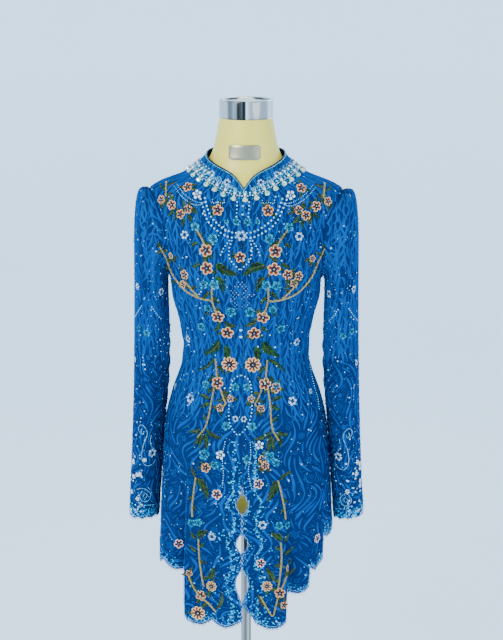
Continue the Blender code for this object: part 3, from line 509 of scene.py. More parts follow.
def make_backdrop_paint(name, low, high):
    paint = Paint(name, roughness=0.9)
    cloud = paint.noise(millimetres(paint), 0.002, 4.0)
    paint.set("Base Color", paint.blend(cloud, low, high))
    paint.set("Emission Color", (0.58, 0.80, 1.0))
    paint.set("Emission Strength", 1.3)
    paint.material.cycles.emission_sampling = "NONE"
    return paint.material


NET = make_net()
CORD = make_cord_paint()
PEARL = make_bead_paint("pearl", (0.58, 0.78, 0.84), (0.86, 0.88, 0.82), 0.2)
SMALL_PEARL = make_bead_paint("small_pearl", (0.08, 0.42, 0.68), (0.36, 0.70, 0.86), 0.25, coat=0.3)
DROP_GLASS = make_bead_paint(
    "drop_glass", (0.08, 0.42, 0.42), (0.76, 0.80, 0.50), 0.1, metallic=0.3, coat=0.7, patches=0.35)
SILVER_GLASS = make_bead_paint(
    "silver_glass", (0.01, 0.12, 0.30), (0.50, 0.66, 0.76), 0.16, metallic=0.25, coat=0.25, patches=0.4)
AQUA_GLASS = make_bead_paint(
    "aqua_glass", (0.0, 0.05, 0.13), (0.0, 0.24, 0.36), 0.3, metallic=0.2, coat=0.03, patches=0.3, gloss=0.1)
TEAL_GLASS = make_bead_paint(
    "teal_glass", (0.0, 0.008, 0.028), (0.0, 0.04, 0.09), 0.25, metallic=0.1, coat=0.05, gloss=0.2)
SEQUIN = make_bead_paint(
    "sequin", (0.0, 0.10, 0.36), (0.0, 0.48, 0.70), 0.28, metallic=0.3, coat=0.03, patches=0.2, gloss=0.15)
PETAL = make_petal_paint()
LEAF = make_leaf_paint()
CREAM_THREAD = make_thread_paint("cream_thread", (0.70, 0.38, 0.12), (0.90, 0.70, 0.34))
BLUSH_THREAD = make_thread_paint("blush_thread", (0.86, 0.62, 0.58), (0.93, 0.86, 0.84))
GOLD_THREAD = make_thread_paint(
    "gold_thread", (0.07, 0.05, 0.01), (0.50, 0.38, 0.11), roughness=0.34, metallic=0.25)
STEM_THREAD = make_thread_paint("stem_thread", (0.12, 0.085, 0.02), (0.62, 0.49, 0.20))
EDGE_THREAD = make_thread_paint("edge_thread", (0.05, 0.30, 0.72), (0.42, 0.66, 0.92))
# painted reflections: the brightness of the room's reflection across the front of the neck cap, and of the
# pole, its fittings and the base
CHROME = make_chrome("chrome_plate", [
    (-1.0, 0.5), (-0.66, 0.52), (-0.6, 0.17), (-0.5, 0.16), (-0.42, 0.32), (-0.32, 0.28), (-0.26, 0.015),
    (-0.16, 0.05), (-0.10, 0.09), (-0.04, 0.01), (0.02, 0.015), (0.07, 0.95), (0.12, 0.7), (0.2, 0.42),
    (0.42, 0.26), (0.55, 0.34), (0.7, 0.32), (0.8, 0.36), (0.86, 0.75), (0.94, 0.6), (1.0, 0.3)])
STEEL = make_chrome("pole_steel", [
    (-1.0, 0.34), (-0.6, 0.32), (-0.35, 0.26), (-0.15, 0.14), (0.1, 0.13), (0.25, 0.32), (0.4, 0.40),
    (0.68, 0.38), (0.78, 0.08), (1.0, 0.08)])
PLATE = make_plate_metal()
CREAM = make_form_paint()


# ---------- making pieces
def finish_piece(obj, paints, sharp=40):
    """Gives a piece its materials and lets it ride on the blouse."""
    for paint in paints:
        obj.data.materials.append(paint)
    obj.data.shade_smooth()
    obj.data.set_sharp_from_angle(angle=math.radians(sharp))
    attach(obj, BODY)
    return obj


def put_in_scene(name, data):
    obj = bpy.data.objects.new(name, data)
    bpy.context.scene.collection.objects.link(obj)
    return obj


def new_object(name, points, faces, kinds=None):
    """Faces are arrays of corners, one row for each face."""
    corners = np.concatenate([rows.ravel() for rows in faces])
    sizes = np.concatenate([np.full(len(rows), rows.shape[1]) for rows in faces])
    points = np.asarray(points, float).reshape(-1, 3)
    mesh = bpy.data.meshes.new(name)
    mesh.vertices.add(len(points))
    mesh.vertices.foreach_set("co", points.ravel() * 0.001)
    mesh.loops.add(len(corners))
    mesh.loops.foreach_set("vertex_index", corners)
    mesh.polygons.add(len(sizes))
    mesh.polygons.foreach_set("loop_start", np.cumsum(sizes) - sizes)
    if kinds is not None:
        mesh.polygons.foreach_set("material_index", kinds)
    mesh.update(calc_edges=True)
    return put_in_scene(name, mesh)


def grid_quads(rows, columns, around, start=0):
    """Faces of a grid of points, row by row. around joins the last column to the first."""
    j, i = np.mgrid[0 : rows - 1, 0 : (columns if around else columns - 1)]
    k = (i + 1) % columns
    corners = [j * columns + i, j * columns + k, (j + 1) * columns + k, (j + 1) * columns + i]
    return np.stack(corners, -1).reshape(-1, 4) + start


def end_caps(rows, columns):
    """The two faces that close the ends of a grid that runs around."""
    ends = np.arange(columns)
    return np.stack([ends[::-1], (rows - 1) * columns + ends])


def shell(name, points, normals, thick, around=False, measure=None):
    """A thin closed shell of cloth on a grid of points, with its map in millimetres."""
    rows, columns = points.shape[:2]
    count = rows * columns
    inner = points - normals * thick
    corners = np.arange(count).reshape(rows, columns)
    rims = [corners[0], corners[-1][::-1]]
    if around:
        rims = [np.append(rim, rim[0]) for rim in rims]
    else:
        rims += [corners[::-1, 0], corners[:, -1]]
    edges = np.concatenate([np.stack([rim[1:], rim[:-1]], -1) for rim in rims])
    faces = [
        grid_quads(rows, columns, around),
        grid_quads(rows, columns, around, count)[:, ::-1],
        np.concatenate([edges, edges[:, ::-1] + count], 1),
    ]
    obj = new_object(name, np.concatenate([points.reshape(-1, 3), inner.reshape(-1, 3)]), faces)
    if measure is not None:
        flat = np.tile(measure.reshape(-1, 2), (2, 1))
        layer = obj.data.uv_layers.new(name="cloth")
        corners = np.empty(len(obj.data.loops), int)
        obj.data.loops.foreach_get("vertex_index", corners)
        layer.data.foreach_set("uv", flat[corners].ravel())
    return obj


class Spots:
    """Places on the cloth. At each, out leaves the cloth, up lies along it and right is across."""

    def __init__(self, points, outs, ups=(0.0, 0.0, 1.0)):
        self.points = np.asarray(points, float).reshape(-1, 3)
        self.outs = np.asarray(outs, float).reshape(-1, 3)
        ups = np.broadcast_to(ups, self.points.shape)
        self.ups = unit(ups - self.outs * (ups * self.outs).sum(1, keepdims=True))
        self.rights = np.cross(self.ups, self.outs)

    def __len__(self):
        return len(self.points)

    def __getitem__(self, keep):
        return Spots(self.points[keep], self.outs[keep], self.ups[keep])

    def lifted(self, z):
        """The spots moved out from the cloth."""
        return Spots(self.points + self.outs * z, self.outs, self.ups)

    def moved(self, x, y, z):
        """The spots moved along right, up and out."""
        x, y, z = (np.broadcast_to(step, (len(self),))[:, None] for step in (x, y, z))
        return Spots(self.points + self.rights * x + self.ups * y + self.outs * z, self.outs, self.ups)

    def frames(self, lean):
        """Right, up and out of each spot, turned by lean radians."""
        c, s = (np.broadcast_to(f(lean), (len(self),))[:, None] for f in (np.cos, np.sin))
        return np.stack([self.rights * c + self.ups * s, self.ups * c - self.rights * s, self.outs], 1)


class Pile:
    """Many small shapes in one mesh. Each face has a paint and each point a tint."""

    def __init__(self):
        self.points, self.tints, self.faces, self.paints, self.count = [], [], [], [], 0

    def add(self, points, faces, paint, tint=0.0):
        points = np.asarray(points, float).reshape(-1, 3)
        self.points.append(points)
        self.tints.append(np.broadcast_to(tint, (len(points),)))
        self.faces += [np.asarray(rows) + self.count for rows in faces]
        self.paints += [paint] * len(faces)
        self.count += len(points)
        return self

    def stamp(self, shape, spots, size, lean=0.0, paint=None):
        """Sets copies of another pile on spots, with their sizes and turns, and one paint if given."""
        if not len(spots):
            return
        points, tints = np.concatenate(shape.points), np.concatenate(shape.tints)
        size = np.broadcast_to(size, (len(spots),))[:, None, None]
        placed = spots.points[:, None] + np.einsum("pk,nkj->npj", points, spots.frames(lean)) * size
        starts = (np.arange(len(spots)) * shape.count)[:, None, None]
        self.points.append(placed.reshape(-1, 3))
        self.tints.append(np.tile(tints, len(spots)))
        for rows, own in zip(shape.faces, shape.paints):
            self.faces.append((rows[None] + starts).reshape(-1, rows.shape[1]) + self.count)
            self.paints.append(paint or own)
        self.count += shape.count * len(spots)

    def tube(self, path, radius, paint, sides=4, tint=0.0):
        """A tube along a path. Its radius may change along it."""
        path = np.asarray(path, float)
        count = len(path)
        along = unit(np.concatenate([path[1:], path[-1:]]) - np.concatenate([path[:1], path[:-1]]))
        helper = np.where(np.abs(along[:, 2:]) > 0.9, [[1.0, 0, 0]], [[0, 0, 1.0]])
        side = unit(np.cross(along, helper))[:, None]
        other = np.cross(along, side[:, 0])[:, None]
        turns = (np.arange(sides) * 2 * math.pi / sides)[None, :, None]
        radius = np.broadcast_to(radius, (count,))[:, None, None]
        rings = path[:, None] + (np.cos(turns) * side + np.sin(turns) * other) * radius
        self.add(rings, [grid_quads(count, sides, True), end_caps(count, sides)], paint, tint)

    def cord(self, points, outs, widths, paint):
        """A raised flat-backed cord sewn on the cloth, as wide as widths says along it."""
        along = unit(np.gradient(points, axis=0))
        widths = widths[:, None]
        across = unit(np.cross(outs, along)) * widths / 2
        tall = outs * np.minimum(CORD_HEIGHT, 0.25 + 0.3 * widths)
        sunk = outs * 0.25
        rows = [points - across - sunk, points - across * 0.55 + tall, points + across * 0.55 + tall,
                points + across - sunk]
        self.add(np.stack(rows, 1), [grid_quads(len(points), 4, False)], paint)

    def piece(self, name, slot, sharp=40):
        """Makes the pile into one object, its edges sharp from an angle up. The slot is not used."""
        used = list(dict.fromkeys(self.paints))
        kinds = np.concatenate([np.full(len(f), used.index(p)) for f, p in zip(self.faces, self.paints)])
        obj = new_object(name, np.concatenate(self.points), self.faces, kinds)
        layer = obj.data.attributes.new("tint", "FLOAT", "POINT")
        layer.data.foreach_set("value", np.concatenate(self.tints))
        return finish_piece(obj, used, sharp)


# ---------- the cloth pieces
FINER = 3  # columns of the shown cloth to one of the solid's
SKIRT_ROWS, WAIST_ROWS, CHEST_ROWS = 60, 30, 30  # of a panel's grid
SLEEVE_COLUMNS, SLEEVE_ROWS = 72, 110
LAST_STEP = 14  # of the sleeve's rings
COLLAR_FRONT, COLLAR_BACK, COLLAR_ROWS = 44, 24, 12  # steps before and behind the shoulder line, and rows
BACK_MAP_START, SLEEVE_MAP_WIDTH, SLEEVE_MAP_TOP = 700.0, 300.0, 1400.0


def lobe_columns(name):
    """(angle, hem height) along a panel's hem, from the centre to the side seam."""
    columns = []
    for lobe in HEM_LOBES[name]:
        count = lobe.columns * FINER
        for i in range(count + 1):
            t = i / count
            angle = mix(lobe.start, lobe.end, t)
            if columns and abs(columns[-1][0] - angle) < 0.01:
                continue
            columns.append((angle, mix(lobe.height, lobe.end_height, t) - lobe.sag * math.sin(math.pi * t)))
    return np.array(columns)


def panel_grid(name):
    """Angles and heights of a panel's grid, hem to shoulder. Back angles count from the centre back."""
    front = name.startswith("front")
    angles, hem = lobe_columns(name).T
    last = len(angles) - 1
    skirt = np.linspace(0, 1, SKIRT_ROWS + 1)[:-1, None]
    levels = np.linspace(HIP, ARMPIT, WAIST_ROWS + 1)[:-1, None]
    height_rows = [mix(hem[None], HIP, skirt), np.broadcast_to(levels, (WAIST_ROWS, last + 1))]
    angle_rows = [np.broadcast_to(angles, rows.shape) for rows in height_rows]
    neck = round(last * NECK_SHARE["front" if front else "back"])
    neck_height = neck_place(90, front)[1]
    top = []
    for i in range(last + 1):
        if i <= neck:
            turn = 90 * i / neck
            top.append((NECK_WIDE * math.sin(math.radians(turn)), neck_place(turn, front)[1]))
        else:
            height = mix(neck_height, SHOULDER_TIP, (i - neck) / (last - neck))
            top.append((float(read_table(BODY_RINGS, "height", "half_width", height)), height))
    top_x, top_height = np.array(top).T
    bottom = ring_spot(BODY_RINGS, angles, ARMPIT)[:, 0]
    share = angles / 90
    for v in np.arange(CHEST_ROWS + 1) / CHEST_ROWS:
        edge_x, edge_height = armhole_spot(v, front)
        crowded = 1 - (1 - v) ** (1 + 1.2 * smooth(share / 0.5))
        x = mix(bottom, top_x, v) + (edge_x - mix(bottom[-1], top_x[-1], v)) * share * share
        height = mix(ARMPIT, top_height, crowded)
        height = height + (edge_height - mix(ARMPIT, SHOULDER_TIP, crowded)) * smooth((share - 0.6) / 0.4)
        angle_rows.append(angle_at(x, height, True)[None])
        height_rows.append(height[None])
    return np.concatenate(angle_rows), np.concatenate(height_rows)


def sew_sheet(name, points, normals, across, down, around=False, thick=SHELL):
    """Makes the shown cloth of one sheet. across and down are its map's distances."""
    measure = np.stack(np.broadcast_arrays(across, down), -1)
    obj = shell(name + "_cloth", points, normals, thick, around, measure)
    finish_piece(obj, [NET])
    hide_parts(name)
    return obj


def make_panel(name):
    side = SIDES[name.split("_")[1]]
    front = name.startswith("front")
    angle, height = panel_grid(name)
    points, normals = cloth(side, angle if front else 180 - angle, height)
    y = points[..., 1]
    held = np.minimum(y, -HALF_SEAM) if front else np.maximum(y, HALF_SEAM)
    on_side_seam = angle >= 89.99
    points[..., 1] = np.where(on_side_seam, held, y)
    return sew_sheet(name, points, normals, lengths_along(points) + (0 if front else BACK_MAP_START), height)


def collar_edge(angle):
    return read_table(COLLAR_TOP, "angle", "height", angle)


def make_collar(word):
    """Half of the stand collar, from the notch at the centre front to the zip."""
    side = SIDES[word]
    places = [neck_place(90 * i / COLLAR_FRONT, True) for i in range(COLLAR_FRONT + 1)]
    places += [neck_place(90 * i / COLLAR_BACK, False) for i in range(COLLAR_BACK - 1, -1, -1)]
    angle, low = np.array(places).T
    height = mix(low[None], collar_edge(angle)[None], np.linspace(0, 1, COLLAR_ROWS)[:, None])
    points, normals = cloth(side, np.broadcast_to(angle, height.shape), height)
    points[:, -1, 0] = side * HALF_ZIP
    return sew_sheet("collar_" + word, points, normals, lengths_along(points), height, thick=COLLAR_SHELL)


def sleeve_grid(word):
    """Points and normals of a sleeve, from the armhole seam down to the cuff."""
    half = SLEEVE_COLUMNS // 2
    seam = [armhole_place(1 - i / half, True) for i in range(half + 1)]
    seam += [armhole_place(i / half, False) for i in range(1, half)]
    angle, height = np.array(seam).T
    seam_points, seam_normals = cloth(1, angle, height)
    turn = 2 * math.pi * np.arange(SLEEVE_COLUMNS) / SLEEVE_COLUMNS
    top = (1 + np.cos(turn)) / 2
    tip, pit = seam_points[0], seam_points[half]
    own = seam_points - mix(pit, tip, top[:, None])
    steps = np.linspace(0, LAST_STEP, SLEEVE_ROWS)
    columns = SleeveRing._fields[1:]
    row = {column: read_table(SLEEVE_RINGS, "step", column, steps)[:, None] for column in columns}
    over, under = (np.stack([row[w + "_x"], 0 * steps[:, None], row[w + "_z"]], -1) for w in ("over", "under"))
    deep = np.where(turn[None] < math.pi, -row["front"], row["back"]) * np.abs(np.sin(turn))[None]
    plain = mix(under, over, top[None, :, None])
    oval = np.stack([0 * deep, deep, 0 * deep], -1)
    points = plain + oval + (own[None] - oval) * row["seam"][..., None]
    tube = (steps[:, None] - 1) / (LAST_STEP - 1)
    gather = 1.5 * smooth(np.cos(turn) * 1.6)[None] * smooth(steps / 0.5)[:, None]
    gather = gather * smooth((4 - steps) / 3.5)[:, None]
    swell = gather * (0.4 + 0.6 * np.cos(turn * 20))[None]
    swell = swell + 1.3 * smooth(tube * 3) * np.sin(3 * turn[None] + 5 * tube + 0.7)
    elbow = np.exp(-(((steps - ELBOW_STEP) / 1.5) ** 2))[:, None] * smooth(0.25 - np.cos(turn))[None]
    swell = swell + 1.5 * elbow * np.sin(steps[:, None] * 7.5 + 2.2 * np.sin(turn)[None])
    lift_outer, lift_inner = CUFF_LIFT[word]
    low = smooth((steps - 12.4) / 1.6)[:, None]
    points[..., 2] += low * mix(lift_inner, lift_outer, top)[None]
    points[-1, :, 2] -= CUFF_SAG * np.abs(np.sin(CUFF_SCALLOPS * turn / 2))
    points = np.concatenate([seam_points[None], points])
    ring_way = np.roll(points, -1, 1) - np.roll(points, 1, 1)
    down_way = np.gradient(points, axis=0)
    normals = unit(np.cross(ring_way, down_way))
    normals[0] = seam_normals
    points[1:] += normals[1:] * (np.minimum(swell, 1.6) - 0.4)[..., None]
    flip = np.array([SIDES[word], 1, 1])
    return points * flip, normals * flip


def make_sleeve(word):
    points, normals = SLEEVES[word]
    share = np.arange(points.shape[1]) / points.shape[1]
    across, down = share[None] * SLEEVE_MAP_WIDTH, SLEEVE_MAP_TOP - points[..., 2]
    return sew_sheet("sleeve_" + word, points, normals, across, down, around=True)


SLEEVES = {word: sleeve_grid(word) for word in SIDES}
PANELS = {name: make_panel(name) for name in HEM_LOBES}
COLLARS = {word: make_collar(word) for word in SIDES}
SLEEVE_CLOTH = {word: make_sleeve(word) for word in SIDES}


# ---------- the dress form and its stand
def turned(name, profile, paint, node, steps=96):
    """A solid turned about Z from (radius, height) pairs that run down its outer side."""
    turns = 2 * math.pi * np.arange(steps) / steps
    radius, height = np.array(profile, float).T[..., None]
    points = np.stack([radius * np.cos(turns), radius * np.sin(turns), height + 0 * turns], -1)
    faces = [grid_quads(len(profile), steps, True)[:, ::-1], end_caps(len(profile), steps)]
    obj = new_object(name, points, faces)
    finish_piece(obj, [paint], sharp=30)
    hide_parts(node)


def rounded(corner, radius, start, end):
    """Points of a rounded corner between two directions, in degrees."""
    turns = np.radians(np.linspace(start, end, 5))
    return [(corner[0] + radius * math.cos(t), corner[1] + radius * math.sin(t)) for t in turns]


INSET, BACK_INSET, CHEST_INSET = 2.6, 1.6, 1.6  # the form's gap under the cloth, and what is added to it


def make_form():
    """The limbless form: its surface lies just under the cloth, and is bare at the neck and below the hips."""
    angle = np.linspace(-180, 180, 121)[:-1]
    hips = [ring_spot(HIP_RINGS, angle, height) for height in np.linspace(FORM_BOTTOM, HIPS_END, 26)]
    body = np.array([body_ring(np.abs(angle), height) for height in np.linspace(HIP, CHEST_END, 72)])
    neck = [ring_spot(NECK_RINGS, angle, height) for height in np.linspace(NECK_START, NECK_TOP, 30)]
    body[..., 0] *= np.sign(angle) + (angle == 0)
    around = np.roll(body, -1, 1) - np.roll(body, 1, 1)
    normal = unit(np.cross(around, np.gradient(body, axis=0)))
    inset = INSET + BACK_INSET * smooth((np.abs(angle)[None] - 120) / 45)
    inset = inset + CHEST_INSET * smooth((body[..., 2] - 1190) / 60)
    body = body - normal * inset[..., None]
    lip = hips[0] * [0.94, 0.94, 1] + [0, 0, -0.2]
    points = np.concatenate([lip[None], hips, body, neck])
    rows, columns = points.shape[:2]
    obj = new_object("form_shell", points, [grid_quads(rows, columns, True), end_caps(rows, columns)])
    finish_piece(obj, [CREAM], sharp=50)
    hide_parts("dress_form")


def make_stand():
    """The chrome neck cap, the pole and its two fittings, and the round base."""
    top, edge = NECK_TOP + CAP_HEIGHT, CAP_RADIUS - 0.8
    cap = [(0.5, top - 3), (CAP_RADIUS - 6.5, top - 3), (CAP_RADIUS - 5, top - 0.8),
           *rounded((CAP_RADIUS - 2.2, top - 2.2), 2.2, 110, 0), (CAP_RADIUS, NECK_TOP + 2.2),
           (edge, NECK_TOP + 1.4), (edge, NECK_TOP + 0.9), (CAP_RADIUS, NECK_TOP + 0.2), (0.5, NECK_TOP + 0.2)]
    turned("neck_cap_chrome", cap, CHROME, "neck_cap")
    under, hole = FORM_BOTTOM - 0.3, POLE_RADIUS + 0.3
    pole = [(0.5, under), (POLE_RADIUS, under), (POLE_RADIUS, POLE_BOTTOM), (0.5, POLE_BOTTOM)]
    turned("pole_tube", pole, STEEL, "pole", 48)
    flange = [(hole, under), (FLANGE_RADIUS, under), *rounded((FLANGE_RADIUS - 1, under - 2), 2, 60, -60),
              (FLANGE_RADIUS - 3, under - 4.6), (15, under - 5), (hole, under - 5)]
    turned("flange_plate", flange, STEEL, "pole_flange", 64)
    socket = [(hole, 50.3), (17, 50.3), *rounded((16.6, 48), 1.6, 70, 0), (20, 24), (21.4, 19), (26, 16.4),
              (37, 14.6), (37, 12.5), (hole, 12.5)]
    turned("socket_collar", socket, STEEL, "base_socket", 64)
    base = [(0.5, BASE_THICK), (188, BASE_THICK), (194, 11.4), *rounded((BASE_RADIUS - 4, 8), 4, 70, 0),
            (BASE_RADIUS, 1.2), (BASE_RADIUS - 1, 0), (0.5, 0)]
    turned("base_disc", base, STEEL, "base_plate", 128)


def make_neck_plate():
    """The bare metal plate on the neck, with notched corners and two rivets."""
    across = np.linspace(-1, 1, 41)
    up = np.linspace(0, 1, 13)[:, None]
    bite = 3.4 * smooth(np.clip((np.abs(across) - 0.8) / 0.2, 0, 1))
    height = mix(PLATE_LOW + bite[None], PLATE_HIGH - bite[None] * 0.8, up)
    x = np.broadcast_to(across * PLATE_HALF_WIDTH, height.shape)
    half_width, front = (read_table(NECK_RINGS, "height", column, height) for column in ("half_width", "front"))
    ring = np.stack([x, -front * np.sqrt(1 - (x / half_width) ** 2), height], -1)
    out = unit(ring * [1, 1, 0] + [0, 0, 0.001])
    edge = np.minimum(1, np.minimum(up, 1 - up) * 14) * np.minimum(1, (1 - np.abs(across))[None] * 22)
    points = ring + out * (1.3 + 0.8 * edge)[..., None]
    obj = shell("neck_plate_metal", points, out, PLATE_THICK)
    finish_piece(obj, [PLATE])
    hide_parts("neck_plate")
    rivets = Pile()
    rivets.stamp(ball(12, 6, PLATE, 0.5), Spots(points[9, [4, -5]], out[9, [4, -5]]), 1.7)
    rivets.piece("plate_rivets", "chrome")


# ---------- small shapes, one unit in radius or length
PETAL_POINTS = 18  # round a petal's rim
STRAND_RADIUS = 1.25


def ball(segments, rings, paint, flat=1.0):
    """A round bead."""
    polar = math.pi * np.arange(1, rings)[:, None] / rings
    turn = 2 * math.pi * np.arange(segments)[None] / segments
    ring = np.stack([np.sin(polar) * np.cos(turn), np.sin(polar) * np.sin(turn), -np.cos(polar) + 0 * turn], -1)
    points = np.concatenate([[[0, 0, -1]], ring.reshape(-1, 3), [[0, 0, 1]]])
    i = np.arange(segments)
    k, last = (i + 1) % segments, len(points) - 1
    start = last - segments
    low, high = np.stack([0 * i, 1 + k, 1 + i], -1), np.stack([0 * i + last, start + i, start + k], -1)
    caps = np.concatenate([low, high])
    return Pile().add(points * [1, 1, flat], [caps, grid_quads(rings - 1, segments, True, 1)], paint)


def cut_stone(sides, paint, tall=0.5, levels=((1.0, 0.15), (0.72, 0.8), (0.4, 1.0))):
    """A flat-backed stone with a bevelled top. levels are its (radius, height) pairs."""
    turn = 2 * math.pi * (np.arange(sides) + 0.5) / sides
    rows = [np.stack([np.cos(turn) * r, np.sin(turn) * r, z * tall + 0 * turn], -1) for r, z in levels]
    top = ((len(levels) - 1) * sides + np.arange(sides))[None]
    return Pile().add(rows, [grid_quads(len(levels), sides, True), top], paint)


def drop_bead(paint):
    """A faceted teardrop that hangs down from its narrow end."""
    sides = 9
    profile = [(0.10, 0.0), (0.20, -0.2), (0.36, -0.42), (0.46, -0.64), (0.42, -0.84), (0.26, -0.96),
               (0.08, -1.0)]
    turn = 2 * math.pi * np.arange(sides) / sides
    rows = [np.stack([r * np.cos(turn), y + 0 * turn, r * 0.8 * np.sin(turn)], -1) for r, y in profile]
    return Pile().add(rows, [grid_quads(len(profile), sides, True)[:, ::-1]], paint)


SMALL_BEAD = ball(5, 3, SMALL_PEARL)
ROUND_BEAD = ball(10, 6, PEARL)
STONE = cut_stone(6, SILVER_GLASS)
SEQUIN_DISC = cut_stone(6, SEQUIN, tall=0.35, levels=((1.0, 0.2), (0.3, 1.0)))
DROP = drop_bead(DROP_GLASS)


def ring_spots(count, radius, height=0.0, start=math.pi / 2):
    """Spots round a flower's middle, each with its up pointing away from the middle."""
    turn = start + 2 * math.pi * np.arange(count) / count
    away = np.stack([np.cos(turn), np.sin(turn), 0 * turn], -1)
    return Spots(away * radius + [0, 0, height], np.broadcast_to([0.0, 0, 1], away.shape), away)


def heart_spot(height):
    """The spot over a flower's middle."""
    return Spots([[0, 0, height]], [[0, 0, 1.0]], (0, 1.0, 0))


def satin_flower(petals, edge_thread):
    """Satin-stitched petals, each with a beaded outline, round a crystal in a dark heart."""
    flower = Pile()
    half = 0.98 * 0.68 * math.sin(math.pi / petals)
    i = np.arange(PETAL_POINTS)
    turn = 2 * math.pi * i / PETAL_POINTS
    away = 0.6 - 0.4 * np.cos(turn)
    side = np.sin(turn) * (0.84 - 0.26 * np.cos(turn))
    notch = 0.05 * np.exp(-(((turn - math.pi) / 0.3) ** 2))
    fan = np.stack([0 * i + 2 * PETAL_POINTS, PETAL_POINTS + (i + 1) % PETAL_POINTS, PETAL_POINTS + i], -1)
    ring = grid_quads(2, PETAL_POINTS, True)[:, ::-1]
    edge = np.clip(1.08 * away - 0.05 - 0.2 * (1 - np.abs(side)), 0, 1)
    shown = slice(3, 16)  # the part of the rim with the beaded outline
    for way in ring_spots(petals, 1.0).ups:
        right = np.array([way[1], -way[0], 0])
        rim = (away - notch)[:, None] * way + (half * side)[:, None] * right
        middle = 0.52 * way
        inner = middle + (rim - middle) * 0.5 + [0, 0, 0.12]
        points = np.concatenate([rim + [0, 0, 0.06], inner, [middle + [0, 0, 0.13]]])
        flower.add(points, [ring, fan], PETAL, np.concatenate([edge, np.clip(edge - 0.28, 0, 1), [0.2]]))
        flower.tube(rim[shown] + [0, 0, 0.1], (0.052 + 0.03 * (i % 2))[shown], edge_thread)
    flower.stamp(cut_stone(8, PETAL, tall=0.3), heart_spot(0.05), 0.27)
    flower.stamp(ball(5, 3, TEAL_GLASS), ring_spots(6, 0.2, 0.14, 0.5), 0.06)
    flower.stamp(ball(8, 5, SILVER_GLASS), heart_spot(0.2), 0.13)
    return flower


def stone_flower(petals, petal_shape, paint, heart, petal_size, heart_size):
    """Stones or beads set round a bead."""
    flower = Pile()
    flower.stamp(petal_shape, ring_spots(petals, 1 - petal_size * 0.9, 0.05), petal_size, 0.0, paint)
    flower.stamp(ball(8, 5, heart), heart_spot(0.1), heart_size)
    return flower


def sequin_flower():
    """Cupped sequins, each held by a bead, round a dark middle."""
    flower = Pile()
    cup = cut_stone(8, AQUA_GLASS, tall=0.4, levels=((0.95, 0.2), (1.0, 0.6), (0.5, 0.25)))
    flower.stamp(cup, ring_spots(5, 0.58, 0.04), 0.42)
    flower.stamp(ball(5, 3, SEQUIN), ring_spots(5, 0.7, 0.16), 0.14)
    flower.stamp(ball(5, 3, TEAL_GLASS), ring_spots(5, 0.4, 0.14), 0.12)
    flower.stamp(ball(5, 3, TEAL_GLASS), ring_spots(4, 0.14, 0.16), 0.13)
    flower.stamp(SMALL_BEAD, ring_spots(2, 0.62, 0.26, 0.9), 0.06)
    return flower


FLOWERS = {
    "coral": satin_flower(5, CREAM_THREAD),
    "daisy": satin_flower(9, CREAM_THREAD),
    "blush": satin_flower(5, BLUSH_THREAD),
    "silver": stone_flower(6, STONE, SILVER_GLASS, TEAL_GLASS, 0.36, 0.2),
    "pearl": stone_flower(5, ROUND_BEAD, PEARL, SILVER_GLASS, 0.34, 0.24),
    "aqua": sequin_flower(),
}


def add_leaf(pile, spot, length, width):
    """A leaf of slanting green bugle beads, tipped with gold beads, on a gold rib. spot is its stalk end."""
    def place(x, y, z):
        x, y, z = np.broadcast_arrays(x, y, z)
        return spot.points + spot.rights * x[:, None] + spot.ups * y[:, None] + spot.outs * z[:, None]

    t = np.linspace(0, 1, 9)
    half = width / 2 * np.sin(math.pi * (0.04 + 0.93 * t) ** 0.85) ** 0.7 * (1 - 0.3 * t)
    bow = 0.08 * length * np.sin(math.pi * t) * CHANCE.choice([-1, 1])
    pile.tube(place(bow, length * t, 1.7), 0.42, GOLD_THREAD, sides=3)
    tips = []
    count = max(3, round(length / 2.4))
    for y in (np.arange(count) + 0.15) / count:
        for way in (-1, 1):
            reach = min(y + CHANCE.uniform(0.28, 0.42) * width / length, 1.0)
            out = max(0.6, float(np.interp(reach, t, half)) * CHANCE.uniform(0.85, 1.12))
            x0, x1 = float(np.interp(y, t, bow)), float(np.interp(reach, t, bow)) + way * out
            ends = place(np.array([x0, (x0 + x1) / 2, x1]), length * np.array([y, (y + reach) / 2, reach]),
                         np.array([1.2, 1.4, 0.9]))
            pile.tube(ends, 1.15, LEAF, tint=CHANCE.uniform(0, 1))
            tips.append(ends[2])
    tips = Spots(tips, np.broadcast_to(spot.outs, (len(tips), 3)))
    pile.stamp(ball(4, 3, STEM_THREAD), tips.lifted(0.2), CHANCE.uniform(0.5, 0.85, len(tips)))


def add_stem(pile, spots):
    """Two strands of padded thread twisted round each other."""
    turn = np.arange(len(spots)) * 2 * math.pi / 6
    for way, paint in ((0.0, STEM_THREAD), (math.pi, GOLD_THREAD)):
        strand = spots.moved(0.95 * np.cos(turn + way), 0.0, 1.5 + 0.9 * np.sin(turn + way))
        pile.tube(strand.points, STRAND_RADIUS, paint)


# ---------- where things lie
def gather_surface(objects):
    points, faces = [], []
    for obj in objects:
        start = len(points)
        points += [vertex.co.copy() for vertex in obj.data.vertices]
        faces += [[corner + start for corner in polygon.vertices] for polygon in obj.data.polygons]
    return BVHTree.FromPolygons(points, faces)


IN_FRONT = -0.5  # where the rays of lay start, in metres
CLOTH_SURFACE = gather_surface([*PANELS.values(), *COLLARS.values(), *SLEEVE_CLOTH.values()])


def lay(x, height):
    """Spots of the cloth that shows at each x and height from the front, and which of them exist."""
    points, outs, found = [], [], []
    for a, b in np.stack(np.broadcast_arrays(x, height), -1).reshape(-1, 2):
        hit = CLOTH_SURFACE.ray_cast(Vector((a / 1000, IN_FRONT, b / 1000)), Vector((0, 1, 0)))
        found.append(hit[0] is not None)
        if found[-1]:
            normal = np.array(hit[1])
            points.append(np.array(hit[0]) * 1000)
            outs.append(normal if normal[1] < 0 else -normal)
    return Spots(points, outs), np.array(found)


